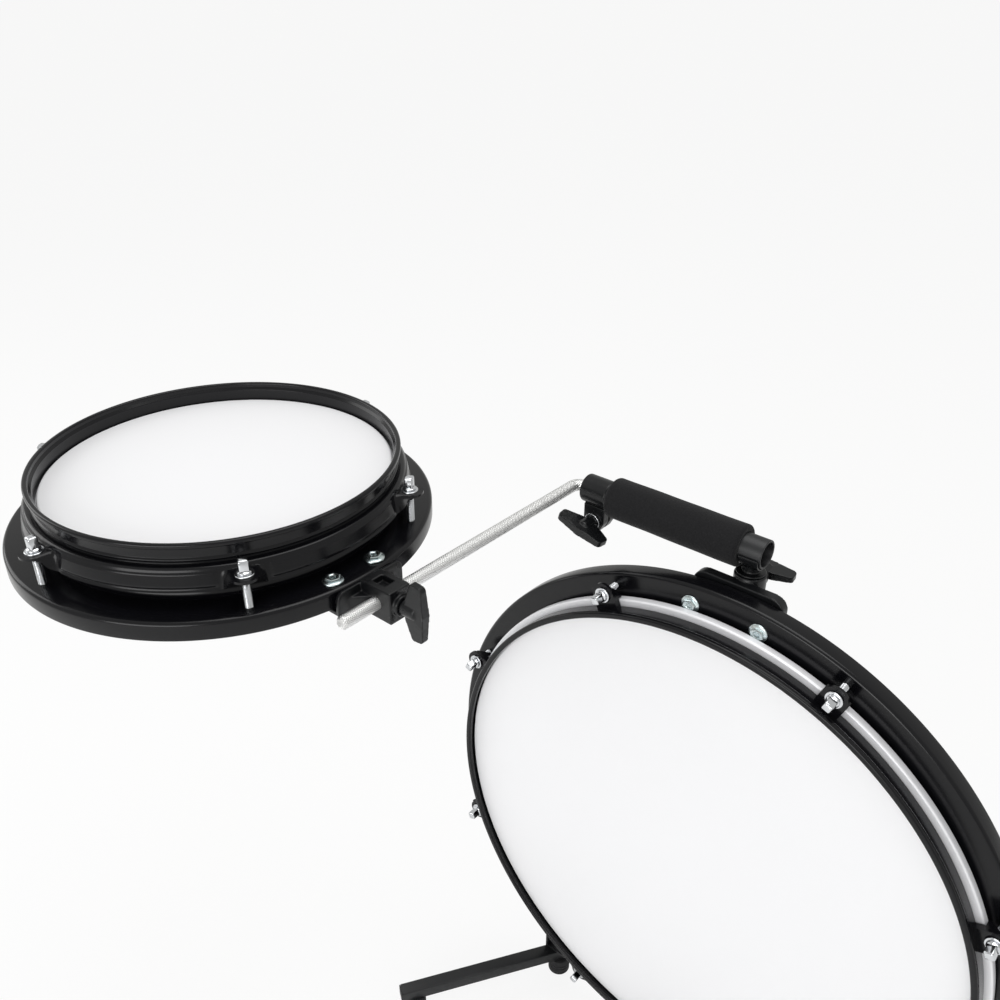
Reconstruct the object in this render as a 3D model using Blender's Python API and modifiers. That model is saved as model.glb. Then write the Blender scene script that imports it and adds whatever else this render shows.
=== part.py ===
"""Compact travelling drum kit.

A shallow bass drum stands upright on two swinging legs. A bracket behind its top carries a
grip tube, and an L-shaped rod in the end of that tube carries a small level snare drum.
Metres, +Z up. The batter side of the bass drum faces -Y, and the kit stands on Z = 0.
"""
import math

import bmesh
import bpy
from mathutils import Matrix, Vector

MM = 0.001
KIT_NAME = "travelling_drum_kit"

# Gaps between pieces, and how joined shapes and cutters overlap
SEAT_GAP = 0.3 * MM
RUNNING_GAP = 0.45 * MM
FUSE_BITE = 0.5 * MM
CUT_MARGIN = 1.0 * MM
FACE_STEP = 0.1 * MM

# Steps round turned pieces
BASS_STEPS = 44
SNARE_STEPS = 36
SHAFT_STEPS = 18
FASTENER_STEPS = 10
FINE_EDGE_R = 1.3 * MM

# Bass drum, depths measured back from the front of its counterhoop
BASS_LUGS = 8
BASS_GROUND_CLEARANCE = 31.0 * MM
BASS_COLLAR_R = 225.6 * MM
BASS_LIP_SHIFT = -2.4 * MM
BASS_LIP_WIDTH = 5.0 * MM
BASS_HEAD_DEPTH = 7.3 * MM
BASS_SEAT_DEPTH = 14.6 * MM
BASS_FLESH_HOOP_WIDTH = 8.2 * MM
BASS_FLESH_HOOP_HEIGHT = 6.8 * MM
BASS_HOOP_TO_FACE = 4.3 * MM
BASS_RIM_DEPTH = 15.5 * MM
BASS_HOOP_TO_ROD = 6.0 * MM
BASS_EAR_DEPTH = 8.8 * MM
BASS_EAR_WIDTH = 19.0 * MM
BASS_EAR_SHEET = 2.4 * MM
BASS_EAR_FLANGE = 12.0 * MM

# Snare drum, depths measured down from the top of its counterhoop
SNARE_LUGS = 6
SNARE_COLLAR_R = 126.6 * MM
SNARE_LIP_SHIFT = 1.8 * MM
SNARE_LIP_WIDTH = 3.8 * MM
SNARE_HEAD_DEPTH = 13.6 * MM
SNARE_SEAT_DEPTH = 17.4 * MM
SNARE_FLESH_HOOP_WIDTH = 5.1 * MM
SNARE_FLESH_HOOP_HEIGHT = 6.0 * MM
SNARE_HOOP_TO_FACE = 20.3 * MM
SNARE_RIM_DEPTH = 14.0 * MM
SNARE_HOOP_TO_ROD = 12.1 * MM
SNARE_EAR_DEPTH = 19.8 * MM

# The snare counterhoop's bead, its shoulder and skirt, and its pressed ears
BEAD_DEPTH = 13.0 * MM
BEAD_RISE = 1.5 * MM
BEAD_HALF_HEIGHT = 1.6 * MM
SHOULDER_GAP = 0.4 * MM
SKIRT_FLARE = 3.7 * MM
SKIRT_DROP = 13.6 * MM
PRESSED_EAR_SHEET = 3.6 * MM
PRESSED_EAR_TIP_R = 9.5 * MM
PRESSED_EAR_ROOT = 34.0 * MM
PRESSED_EAR_NECK = 6.0 * MM
PRESSED_EAR_CHIN = 10.6 * MM
PRESSED_EAR_CHIN_WIDTH = 14.0 * MM

# Sheet, film and rim sizes that both drums share
PAN_WALL = 2.2 * MM
PAN_EDGE_R = 3.0 * MM
PAN_FILLET_R = 2.6 * MM
PAN_RETURN = 8.0 * MM
HOOP_WALL = 2.0 * MM
HOOP_TO_FILM = 1.1 * MM
LIP_HEIGHT = 3.4 * MM
LIP_EDGE_R = 1.2 * MM
HEAD_FILM = 0.6 * MM
FLESH_HOOP_WALL = 1.3 * MM

# Tension rods
ROD_SHANK_R = 2.9 * MM
ROD_HEAD_WIDTH = 6.4 * MM
ROD_HEAD_HEIGHT = 8.4 * MM
ROD_COLLAR_R = 4.7 * MM
ROD_COLLAR_HEIGHT = 1.7 * MM
ROD_WASHER_R = 6.4 * MM
ROD_WASHER_HEIGHT = 1.3 * MM
ROD_NUT_R = 5.6 * MM
ROD_NUT_HEIGHT = 6.0 * MM
ROD_TAIL = 3.5 * MM
ROD_TO_RIM = 11.0 * MM

# Hexagon flange screws that hold the brackets
SCREW_SHANK_R = 2.5 * MM
SCREW_FLANGE_R = 7.6 * MM
SCREW_FLANGE_HEIGHT = 1.5 * MM
SCREW_HEX_R = 5.5 * MM
SCREW_HEX_HEIGHT = 3.6 * MM
SCREW_TAIL = 2.0 * MM
NUT_HEX_R = 5.6 * MM
NUT_HEIGHT = 4.2 * MM
BASS_SCREW_INSET = 4.5 * MM

# Bracket behind the top of the bass drum
BRACKET_WIDTH = 72.0 * MM
BRACKET_THICKNESS = 8.0 * MM
BRACKET_RISE = 3.0 * MM
BRACKET_DROP = 26.0 * MM
BRACKET_CORNER_R = 10.0 * MM
BRACKET_SCREW_HALF_PITCH = 27.0 * MM
BARREL_R = 12.0 * MM
BARREL_LENGTH = 26.0 * MM
BARREL_WEB_WIDTH = 18.0 * MM
BARREL_BOSS_R = 7.6 * MM
BARREL_BOSS_REACH = 16.0 * MM
BARREL_SCREW_DROP = 10.5 * MM
STEM_R = 7.9 * MM
STEM_LENGTH = 20.0 * MM

# Grip tube, foam grip and tee
GRIP_DEPTH = 60.0 * MM
GRIP_ABOVE_RIM = 24.0 * MM
GRIP_TUBE_R = 11.1 * MM
GRIP_TUBE_WALL = 1.7 * MM
GRIP_TUBE_OVERHANG = 1.0 * MM
GRIP_TUBE_BARE_END = 1.5 * MM
SADDLE_WALL = 2.6 * MM
SADDLE_LENGTH = 16.0 * MM
SADDLE_SHIFT = 1.5 * MM
SADDLE_OPEN_BELOW = 1.0 * MM
TEE_NECK_R = 6.4 * MM
TEE_NECK_HEIGHT = 2.8 * MM
TEE_COLLAR_R = 11.4 * MM
TEE_COLLAR_HEIGHT = 1.6 * MM
FOAM_R = 16.4 * MM
FOAM_LENGTH = 114.0 * MM
FOAM_END_R = 4.0 * MM
FOAM_TO_SADDLE = 0.6 * MM

# Clamp in the left end of the grip tube
CLAMP_HEAD_R = 11.4 * MM
CLAMP_HEAD_LENGTH = 24.0 * MM
CLAMP_PLUG_LENGTH = 22.0 * MM
CLAMP_BOLT_DROP = 23.5 * MM
CLAMP_BOLT_INSET = 12.4 * MM
CLAMP_EAR_R = 9.2 * MM
CLAMP_EAR_THICKNESS = 16.0 * MM
CLAMP_SLIT = 1.8 * MM
CLAMP_WASHER_R = 7.0 * MM
CLAMP_WASHER_HEIGHT = 1.6 * MM

# L-shaped rod and the split liners it turns and slides in
LROD_R = 4.75 * MM
LROD_BEND_R = 8.0 * MM
LROD_BEND_STEPS = 8
LROD_LONG_LEG = 244.0 * MM
LROD_SHORT_LEG = 66.0 * MM
LROD_CHAMFER = 1.3 * MM
LINER_WALL = 1.3 * MM
LINER_FLANGE = 1.3 * MM
LINER_FLANGE_RISE = 1.4 * MM

# Snare drum's bracket and clamp block
BLOCK_ROD_INSET = 14.2 * MM
ROD_ABOVE_PAN_BACK = 5.7 * MM
SNARE_BRACKET_WIDTH = 58.0 * MM
SNARE_BRACKET_THICKNESS = 4.5 * MM
SNARE_BRACKET_CORNER_R = 5.0 * MM
SNARE_BRACKET_RISE = 1.4 * MM
SNARE_BRACKET_FOOT_REACH = 24.0 * MM
SNARE_BRACKET_FOOT_THICKNESS = 3.2 * MM
SNARE_SCREW_HALF_PITCH = 18.5 * MM
BLOCK_LENGTH = 27.5 * MM
BLOCK_WIDTH = 18.5 * MM
BLOCK_ABOVE_ROD = 12.0 * MM
BLOCK_BELOW_ROD = 12.4 * MM
BLOCK_EDGE_R = 1.6 * MM
BLOCK_POCKET = 9.5 * MM
BLOCK_POCKET_DEPTH = 4.6 * MM
BLOCK_TO_ROD_END = 40.5 * MM
BLOCK_BOSS_R = 7.6 * MM
BLOCK_BOSS_REACH = 3.5 * MM

# Wing screws
WING_HALF_SPAN = 22.5 * MM
WING_RISE = 3.0 * MM
WING_TIP_RISE = 8.0 * MM
WING_REACH = 19.5 * MM
WING_THICKNESS = 7.4 * MM
WING_EDGE_R = 1.4 * MM
WING_HUB_R = 5.8 * MM
WING_HUB_HEIGHT = 10.0 * MM
WING_SHANK_R = 3.0 * MM

# Legs
LEG_PIVOT_X = 137.0 * MM
LEG_PIVOT_DEPTH = 36.0 * MM
LEG_REST_ANGLE = math.radians(57.5)
LEG_BAR_WIDTH = 12.7 * MM
LEG_BAR_WALL = 1.5 * MM
LEG_BAR_EDGE_R = 1.0 * MM
LEG_BAR_REACH = 167.0 * MM
LEG_BAR_HEEL = 9.0 * MM
LEG_BAR_CLEARANCE = 18.3 * MM
LEG_PLUG_DEPTH = 8.0 * MM
LEG_PLUG_FLANGE = 1.2 * MM
LEG_BOLT_R = 3.0 * MM
LEG_BOLT_HEAD_R = 5.3 * MM
LEG_BOLT_HEAD_HEIGHT = 3.2 * MM
LEG_BOLT_BITE = 9.0 * MM
FOOT_R = 10.9 * MM
FOOT_EDGE_R = 3.0 * MM
TOE_FOOT_INSET = 13.0 * MM
LEG_POST_WIDTH = 24.0 * MM
LEG_POST_FRONT = 8.0 * MM
LEG_POST_SHEET = 2.6 * MM
LEG_GUSSET_FRONT_HEIGHT = 17.0 * MM
LEG_GUSSET_BACK_HEIGHT = 29.0 * MM
LEG_PAD_LENGTH = 56.0 * MM
LEG_PAD_HEIGHT = 19.0 * MM
LEG_PAD_CORNER_R = 6.0 * MM
LEG_SCREW_HALF_PITCH = 18.5 * MM

# Pedal plate
PEDAL_PLATE_WIDTH = 76.0 * MM
PEDAL_PLATE_SHEET = 3.5 * MM
PEDAL_PLATE_REACH = 34.0 * MM
PEDAL_PLATE_DROP = 2.6 * MM
PEDAL_PLATE_LIP = 8.0 * MM
PEDAL_PLATE_CORNER_R = 6.0 * MM
PEDAL_SCREW_HALF_PITCH = 27.0 * MM

# Snare wires
WIRE_COUNT = 8
WIRE_R = 0.95 * MM
WIRE_PITCH = 4.2 * MM
WIRE_LENGTH = 196.0 * MM
WIRE_UNDER_HEAD = 0.8 * MM
END_PLATE_DEPTH = 12.0 * MM
END_PLATE_SHEET = 1.2 * MM
END_PLATE_MARGIN = 3.0 * MM
WIRE_TAB_WIDTH = 30.0 * MM
WIRE_TAB_SHEET = 1.8 * MM


class Drum:
    """Levels and radii of one drum, all worked out from its driving sizes."""

    def __init__(self, name, steps, lugs, collar_r, lip_shift, lip_width, head_depth, seat_depth,
                 flesh_width, flesh_height, hoop_to_face, rim_depth, hoop_to_rod, ear_depth):
        self.name = name
        self.frame = None
        self.steps = steps
        self.lugs = lugs
        self.first_lug = math.pi / lugs
        self.head_depth = head_depth
        self.collar_r = collar_r
        self.seat_depth = seat_depth
        self.ear_depth = ear_depth
        self.film_inner = collar_r + SEAT_GAP
        self.film_outer = self.film_inner + HEAD_FILM
        self.flesh_inner = self.film_outer + SEAT_GAP
        self.flesh_r = self.flesh_inner + flesh_width
        self.flesh_top = seat_depth + SEAT_GAP
        self.flesh_bottom = self.flesh_top + flesh_height
        self.wall_inner = self.film_outer + HOOP_TO_FILM
        self.wall_outer = self.wall_inner + HOOP_WALL
        self.lip_inner = self.wall_inner + lip_shift
        self.lip_outer = self.lip_inner + lip_width
        self.bearing_depth = head_depth + HEAD_FILM + SEAT_GAP
        self.face_depth = self.flesh_bottom + hoop_to_face
        self.back_depth = self.face_depth + rim_depth
        self.rod_circle_r = self.flesh_r + hoop_to_rod
        self.pan_r = self.rod_circle_r + ROD_TO_RIM

    def lug_places(self):
        return round_places(self.lugs, self.rod_circle_r, self.first_lug)


bass = Drum("bass", BASS_STEPS, BASS_LUGS, BASS_COLLAR_R, BASS_LIP_SHIFT, BASS_LIP_WIDTH, BASS_HEAD_DEPTH,
            BASS_SEAT_DEPTH, BASS_FLESH_HOOP_WIDTH, BASS_FLESH_HOOP_HEIGHT, BASS_HOOP_TO_FACE,
            BASS_RIM_DEPTH, BASS_HOOP_TO_ROD, BASS_EAR_DEPTH)
snare = Drum("snare", SNARE_STEPS, SNARE_LUGS, SNARE_COLLAR_R, SNARE_LIP_SHIFT, SNARE_LIP_WIDTH,
             SNARE_HEAD_DEPTH, SNARE_SEAT_DEPTH, SNARE_FLESH_HOOP_WIDTH, SNARE_FLESH_HOOP_HEIGHT,
             SNARE_HOOP_TO_FACE, SNARE_RIM_DEPTH, SNARE_HOOP_TO_ROD, SNARE_EAR_DEPTH)


# Heights and circles on the bass drum
BASS_CENTRE_HEIGHT = bass.pan_r + BASS_GROUND_CLEARANCE
BASS_SCREW_CIRCLE_R = bass.rod_circle_r - BASS_SCREW_INSET
GRIP_HEIGHT = bass.pan_r + GRIP_ABOVE_RIM

# Places along the grip tube, from the bracket's middle
SADDLE_R = GRIP_TUBE_R + SEAT_GAP + SADDLE_WALL
TUBE_RIGHT_X = SADDLE_SHIFT + SADDLE_LENGTH / 2 + GRIP_TUBE_OVERHANG
FOAM_RIGHT_X = SADDLE_SHIFT - SADDLE_LENGTH / 2 - FOAM_TO_SADDLE
FOAM_LEFT_X = FOAM_RIGHT_X - FOAM_LENGTH
TUBE_LEFT_X = FOAM_LEFT_X - GRIP_TUBE_BARE_END
CLAMP_SHOULDER_X = TUBE_LEFT_X - SEAT_GAP
CLAMP_FACE_X = CLAMP_SHOULDER_X - CLAMP_HEAD_LENGTH
CLAMP_PLUG_END_X = CLAMP_SHOULDER_X + CLAMP_PLUG_LENGTH
LINER_FACE_X = CLAMP_FACE_X - SEAT_GAP - LINER_FLANGE
LROD_X = LINER_FACE_X - SEAT_GAP - LROD_BEND_R
BARREL_TOP = GRIP_HEIGHT - SADDLE_R - TEE_NECK_HEIGHT - TEE_COLLAR_HEIGHT - SEAT_GAP

# Place of the snare drum on the rod
BLOCK_Y = -LROD_BEND_R - LROD_LONG_LEG + BLOCK_TO_ROD_END
SNARE_ROD_OFFSET = snare.pan_r + SEAT_GAP + SNARE_BRACKET_THICKNESS + BLOCK_ROD_INSET
SNARE_ROD_DEPTH = snare.back_depth - ROD_ABOVE_PAN_BACK
SNARE_X = LROD_X - SNARE_ROD_OFFSET
LINER_R = LROD_R + RUNNING_GAP + LINER_WALL
LINER_BORE_R = LROD_R + RUNNING_GAP
LINER_SOCKET_R = LINER_R + RUNNING_GAP

# The kit's origin lies on the floor under the middle of its outline
KIT_LEFT = SNARE_X - snare.pan_r
KIT_RIGHT = bass.pan_r
KIT_FRONT = GRIP_DEPTH + BLOCK_Y - snare.pan_r
KIT_BACK = GRIP_DEPTH + BARREL_BOSS_REACH + SEAT_GAP + WING_REACH
BASS_PLACE = Vector((-(KIT_LEFT + KIT_RIGHT) / 2, -(KIT_FRONT + KIT_BACK) / 2, BASS_CENTRE_HEIGHT))

QUARTER = math.pi / 2
FACE_BACK = (QUARTER, 0.0, 0.0)
ALONG_X = (0.0, QUARTER, 0.0)
ALONG_MINUS_Y = (QUARTER, 0.0, 0.0)
ALONG_Y = (-QUARTER, 0.0, 0.0)
FACE_SIDE = (QUARTER, 0.0, QUARTER)


def clear_scene():
    """Remove whatever the scene holds."""
    for item in list(bpy.data.objects):
        bpy.data.objects.remove(item, do_unlink=True)


clear_scene()
PARTS = bpy.data.collections.new(KIT_NAME)
CUTTERS = bpy.data.collections.new(KIT_NAME + "_cutters")
bpy.context.scene.collection.children.link(PARTS)
bpy.context.scene.collection.children.link(CUTTERS)


def finish(name, colour, metallic, roughness):
    """Principled material from an sRGB colour in hexadecimal."""
    material = bpy.data.materials.new(name)
    material.use_nodes = True
    shader = material.node_tree.nodes["Principled BSDF"]
    channels = [int(colour[i:i + 2], 16) / 255 for i in (0, 2, 4)]
    linear = [c / 12.92 if c <= 0.04045 else ((c + 0.055) / 1.055) ** 2.4 for c in channels]
    shader.inputs["Base Color"].default_value = (*linear, 1.0)
    shader.inputs["Metallic"].default_value = metallic
    shader.inputs["Roughness"].default_value = roughness
    material.diffuse_color = (*linear, 1.0)
    return material


GLOSS_BLACK = finish("gloss_black_paint", "141518", 0.0, 0.18)
SATIN_BLACK = finish("satin_black_paint", "1c1d20", 0.0, 0.38)
CAST_BLACK = finish("black_coated_casting", "232427", 0.0, 0.45)
CHROME = finish("chrome", "d9dbde", 1.0, 0.12)
ZINC = finish("zinc_plate", "b9cfd2", 1.0, 0.28)
KNURLED_STEEL = finish("knurled_plated_steel", "dcdcda", 1.0, 0.32)
ALUMINIUM = finish("satin_aluminium", "d6d8de", 1.0, 0.30)
DRUMHEAD = finish("coated_white_film", "f2f2f4", 0.0, 0.5)
FOAM = finish("black_foam", "252629", 0.0, 0.85)
RUBBER = finish("black_rubber", "26272a", 0.0, 0.7)
NYLON = finish("black_nylon", "1d1e20", 0.0, 0.5)
WIRE_STEEL = finish("bright_spring_wire", "c9cbce", 1.0, 0.25)


def empty(name, parent=None, location=(0, 0, 0), rotation=(0, 0, 0)):
    """A frame or a joint axis that pieces hang on."""
    frame = bpy.data.objects.new(name, None)
    PARTS.objects.link(frame)
    frame.parent = parent
    frame.location = location
    frame.rotation_euler = rotation
    frame.empty_display_size = 0.02
    return frame


def new_object(name, data):
    """Put new mesh or curve data in the scene."""
    item = bpy.data.objects.new(name, data)
    PARTS.objects.link(item)
    return item


def place(item, parent, location=(0, 0, 0), rotation=(0, 0, 0)):
    """Hang a piece on a frame."""
    item.parent = parent
    item.location = location
    item.rotation_euler = rotation
    return item


def rounded(corners, steps=3):
    """Outline through corners (x, y) or (x, y, radius), with an arc at each radius.

    Edges finer than FINE_EDGE_R are single chamfers.
    """
    count = len(corners)
    outline = []
    for i, corner in enumerate(corners):
        here = Vector(corner[:2])
        radius = corner[2] if len(corner) > 2 else 0.0
        before = Vector(corners[i - 1][:2]) - here
        after = Vector(corners[(i + 1) % count][:2]) - here
        if radius <= 0.0:
            outline.append(tuple(here))
            continue
        half = before.angle(after) / 2
        setback = min(radius / math.tan(half), 0.49 * before.length, 0.49 * after.length)
        radius = setback * math.tan(half)
        start = here + before.normalized() * setback
        end = here + after.normalized() * setback
        middle = here + (before.normalized() + after.normalized()).normalized() * radius / math.sin(half)
        sweep = (start - middle).angle_signed(end - middle)
        arc = steps if corner[2] > FINE_EDGE_R else 1
        for step in range(arc + 1):
            arm = (start - middle).copy()
            arm.rotate(Matrix.Rotation(-sweep * step / arc, 2))
            outline.append(tuple(middle + arm))
    return outline


def turned(name, outline, steps, closed):
    """Turned piece about local Z. A closed outline makes a ring, an open one ends on the axis."""
    mesh = bpy.data.meshes.new(name)
    points = [(r, 0.0, z) for r, z in outline]
    edges = [(i, i + 1) for i in range(len(points) - 1)]
    if closed:
        edges.append((len(points) - 1, 0))
    mesh.from_pydata(points, edges, [])
    item = new_object(name, mesh)
    screw = item.modifiers.new("turn", "SCREW")
    screw.axis = "Z"
    screw.angle = 2 * math.pi
    screw.steps = steps
    screw.render_steps = steps
    screw.use_merge_vertices = True
    screw.merge_threshold = 0.00001
    screw.use_smooth_shade = True
    return item


def solid_mesh(item):
    """Mesh of a piece with its modifiers applied and its caps welded; the piece is removed."""
    bpy.context.view_layer.update()
    evaluated = item.evaluated_get(bpy.context.evaluated_depsgraph_get())
    mesh = bpy.data.meshes.new_from_object(evaluated)
    mesh.transform(item.matrix_world)
    shape = bmesh.new()
    shape.from_mesh(mesh)
    bmesh.ops.remove_doubles(shape, verts=shape.verts, dist=0.000001)
    bmesh.ops.recalc_face_normals(shape, faces=shape.faces)
    shape.to_mesh(mesh)
    shape.free()
    tools = [m.object for m in item.modifiers if m.type == "BOOLEAN"]
    for old in [item] + tools:
        bpy.data.objects.remove(old, do_unlink=True)
    return mesh


def slab(name, outline, thickness):
    """Flat outline in local XY, thickened equally both ways along Z."""
    curve = bpy.data.curves.new(name, "CURVE")
    curve.dimensions = "2D"
    curve.fill_mode = "BOTH"
    curve.extrude = thickness / 2
    spline = curve.splines.new("POLY")
    spline.points.add(len(outline) - 1)
    for point, (x, y) in zip(spline.points, outline):
        point.co = (x, y, 0.0, 1.0)
    spline.use_cyclic_u = True
    return new_object(name, solid_mesh(new_object(name + "_outline", curve)))


def rod_curve(name, path, radius, end_radius, sides):
    """Round rod along a path, chamfered at both ends."""
    curve = bpy.data.curves.new(name, "CURVE")
    curve.dimensions = "3D"
    curve.bevel_depth = radius
    curve.bevel_resolution = (sides - 4) // 2
    curve.use_fill_caps = True
    spline = curve.splines.new("POLY")
    spline.points.add(len(path) - 1)
    for point, place_on_path in zip(spline.points, path):
        point.co = (*place_on_path, 1.0)
    spline.points[0].radius = end_radius / radius
    spline.points[-1].radius = end_radius / radius
    return new_object(name, solid_mesh(new_object(name + "_path", curve)))


def block(name, size, centre=(0, 0, 0), edge=0.0):
    """Box with its scale in the mesh, and its edges bevelled."""
    shape = bmesh.new()
    bmesh.ops.create_cube(shape, size=1.0)
    bmesh.ops.scale(shape, vec=size, verts=shape.verts)
    bmesh.ops.translate(shape, vec=centre, verts=shape.verts)
    if edge > 0.0:
        bmesh.ops.bevel(shape, geom=shape.edges, offset=edge, segments=1, profile=0.5, affect="EDGES")
    mesh = bpy.data.meshes.new(name)
    shape.to_mesh(mesh)
    shape.free()
    return new_object(name, mesh)


def pin(name, radius, low, high, steps=FASTENER_STEPS):
    """Plain cylinder on local Z between two heights."""
    shape = bmesh.new()
    bmesh.ops.create_cone(shape, cap_ends=True, segments=steps, radius1=radius, radius2=radius,
                          depth=high - low)
    bmesh.ops.translate(shape, vec=(0, 0, (low + high) / 2), verts=shape.verts)
    mesh = bpy.data.meshes.new(name)
    shape.to_mesh(mesh)
    shape.free()
    return new_object(name, mesh)


def pattern(name, mesh, matrices):
    """One tool that repeats a shape at each place."""
    shape = bmesh.new()
    for matrix in matrices:
        moved = mesh.copy()
        moved.transform(matrix)
        shape.from_mesh(moved)
        bpy.data.meshes.remove(moved)
    together = bpy.data.meshes.new(name)
    shape.to_mesh(together)
    shape.free()
    return new_object(name, together)


def combine(item, tool, operation):
    """Boolean of a placed tool on a placed piece; the tool is kept as a wire guide."""
    PARTS.objects.unlink(tool)
    CUTTERS.objects.link(tool)
    tool.name = item.name + "_" + operation.lower() + "_tool"
    tool.display_type = "WIRE"
    tool.hide_render = True
    step = item.modifiers.new(operation.lower(), "BOOLEAN")
    step.operation = operation
    step.solver = "EXACT"
    step.object = tool


def cut(item, *tools):
    """Take the tools' shapes out of a piece."""
    for tool in tools:
        combine(item, tool, "DIFFERENCE")


def fuse(item, *tools):
    """Add the tools' shapes to a piece."""
    for tool in tools:
        combine(item, tool, "UNION")


def paint(item, material):
    """Give a finished piece its one material and smooth shading."""
    item.data.materials.clear()
    item.data.materials.append(material)
    item.data.shade_smooth()
    item.data.set_sharp_from_angle(angle=math.radians(35))
    return item


def round_places(count, radius, first_angle):
    """Matrices of pieces spread evenly on a circle about local Z, each turned to face outwards."""
    return [Matrix.Rotation(first_angle + 2 * math.pi * i / count, 4, "Z") @
            Matrix.Translation((radius, 0, 0)) for i in range(count)]


def mirrored_outline(half):
    """Whole outline from a half that starts and ends on x = 0, by turning it over in x."""
    other = [(-point[0], *point[1:]) for point in reversed(half) if abs(point[0]) > 1e-9]
    return list(half) + other


def fasteners(names, mesh, frame, places, material):
    """A fastener of its own at each place on a frame."""
    for name, spot in zip(names, places):
        item = place(new_object(name, mesh.copy()), frame, spot.to_translation(), spot.to_euler())
        paint(item, material)
    bpy.data.meshes.remove(mesh)


def pan_ring(drum):
    """Spun pan: bearing collar, flat face with weld nuts, rounded rim, and a hem turned in."""
    inner = drum.collar_r - PAN_WALL
    under_face = drum.face_depth + PAN_WALL
    hem = drum.back_depth - PAN_WALL
    outline = rounded([
        (inner, -drum.bearing_depth, 0.9 * MM), (drum.collar_r, -drum.bearing_depth, 0.9 * MM),
        (drum.collar_r, -drum.face_depth, PAN_FILLET_R), (drum.pan_r, -drum.face_depth, PAN_EDGE_R),
        (drum.pan_r, -drum.back_depth, 1.2 * MM),
        (drum.pan_r - PAN_RETURN, -drum.back_depth), (drum.pan_r - PAN_RETURN, -hem),
        (drum.pan_r - PAN_WALL, -hem), (drum.pan_r - PAN_WALL, -under_face),
        (inner, -under_face)], 2)
    item = place(turned(drum.name + "_pan_ring", outline, drum.steps, True), drum.frame)
    nut = solid_mesh(pin("nut", ROD_NUT_R, -under_face - ROD_NUT_HEIGHT, -under_face + 0.7 * MM, 6))
    fuse(item, place(pattern("nuts", nut, drum.lug_places()), drum.frame))
    hole = solid_mesh(pin("rod_hole", ROD_SHANK_R + SEAT_GAP, -under_face - ROD_NUT_HEIGHT - CUT_MARGIN,
                          -drum.face_depth + CUT_MARGIN))
    cut(item, place(pattern("holes", hole, drum.lug_places()), drum.frame))
    return paint(item, GLOSS_BLACK)


def drum_head(drum):
    """Film stretched over the collar, turned down and hemmed inside the flesh hoop."""
    hem_r = drum.flesh_r - FLESH_HOOP_WALL - SEAT_GAP
    hem_top = drum.flesh_top + FLESH_HOOP_WALL + SEAT_GAP
    hem_bottom = drum.flesh_bottom - FLESH_HOOP_WALL - SEAT_GAP
    shape = rounded([
        (0, -drum.head_depth), (drum.film_outer, -drum.head_depth, 1.8 * MM),
        (drum.film_outer, -hem_top), (hem_r, -hem_top), (hem_r, -hem_bottom),
        (drum.film_inner, -hem_bottom), (drum.film_inner, -drum.head_depth - HEAD_FILM, 1.2 * MM),
        (0, -drum.head_depth - HEAD_FILM)], 2)
    item = place(turned(drum.name + "_head", shape, drum.steps, False), drum.frame)
    return paint(item, DRUMHEAD)


def flesh_hoop(drum):
    """Aluminium channel, open inwards, that holds the head's hem."""
    wall = FLESH_HOOP_WALL
    shape = rounded([
        (drum.flesh_inner, -drum.flesh_top), (drum.flesh_r, -drum.flesh_top, 1.0 * MM),
        (drum.flesh_r, -drum.flesh_bottom, 1.0 * MM), (drum.flesh_inner, -drum.flesh_bottom),
        (drum.flesh_inner, -drum.flesh_bottom + wall), (drum.flesh_r - wall, -drum.flesh_bottom + wall),
        (drum.flesh_r - wall, -drum.flesh_top - wall), (drum.flesh_inner, -drum.flesh_top - wall)], 1)
    item = place(turned(drum.name + "_flesh_hoop", shape, drum.steps, True), drum.frame)
    return paint(item, ALUMINIUM)


def lip_corners(drum):
    """Bead that stiffens a counterhoop's lip: outer corners first, then the inner one."""
    return ([(drum.lip_inner, 0, LIP_EDGE_R), (drum.lip_outer, 0, LIP_EDGE_R),
             (drum.lip_outer, -LIP_HEIGHT)],
            [(drum.lip_inner, -LIP_HEIGHT)])


def bass_ear_mesh(drum):
    """Folded lug bracket: rounded front plate with two side flanges that taper to its tip."""
    half = BASS_EAR_WIDTH / 2
    root = drum.wall_inner + HOOP_WALL / 2 - drum.rod_circle_r
    front = -drum.ear_depth
    plate = slab("ear", rounded([(root, -half), (half, -half, half - FACE_STEP),
                                 (half, half, half - FACE_STEP), (root, half)], 3), BASS_EAR_SHEET)
    plate.location = (0, 0, front - BASS_EAR_SHEET / 2)
    seat = drum.flesh_r + 0.8 * MM - drum.rod_circle_r
    tip = half * 0.55
    for side in (-1, 1):
        flange = slab("flange", [(root, front - BASS_EAR_SHEET / 2), (tip, front - BASS_EAR_SHEET / 2),
                                 (tip, front - BASS_EAR_SHEET), (seat, front - BASS_EAR_FLANGE),
                                 (seat, -drum.seat_depth + FUSE_BITE),
                                 (root, -drum.seat_depth + FUSE_BITE)], HOOP_WALL)
        flange.rotation_euler = FACE_BACK
        flange.location = (0, side * (half - HOOP_WALL / 2 - FACE_STEP), 0)
        fuse(plate, flange)
    return solid_mesh(plate)


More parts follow.
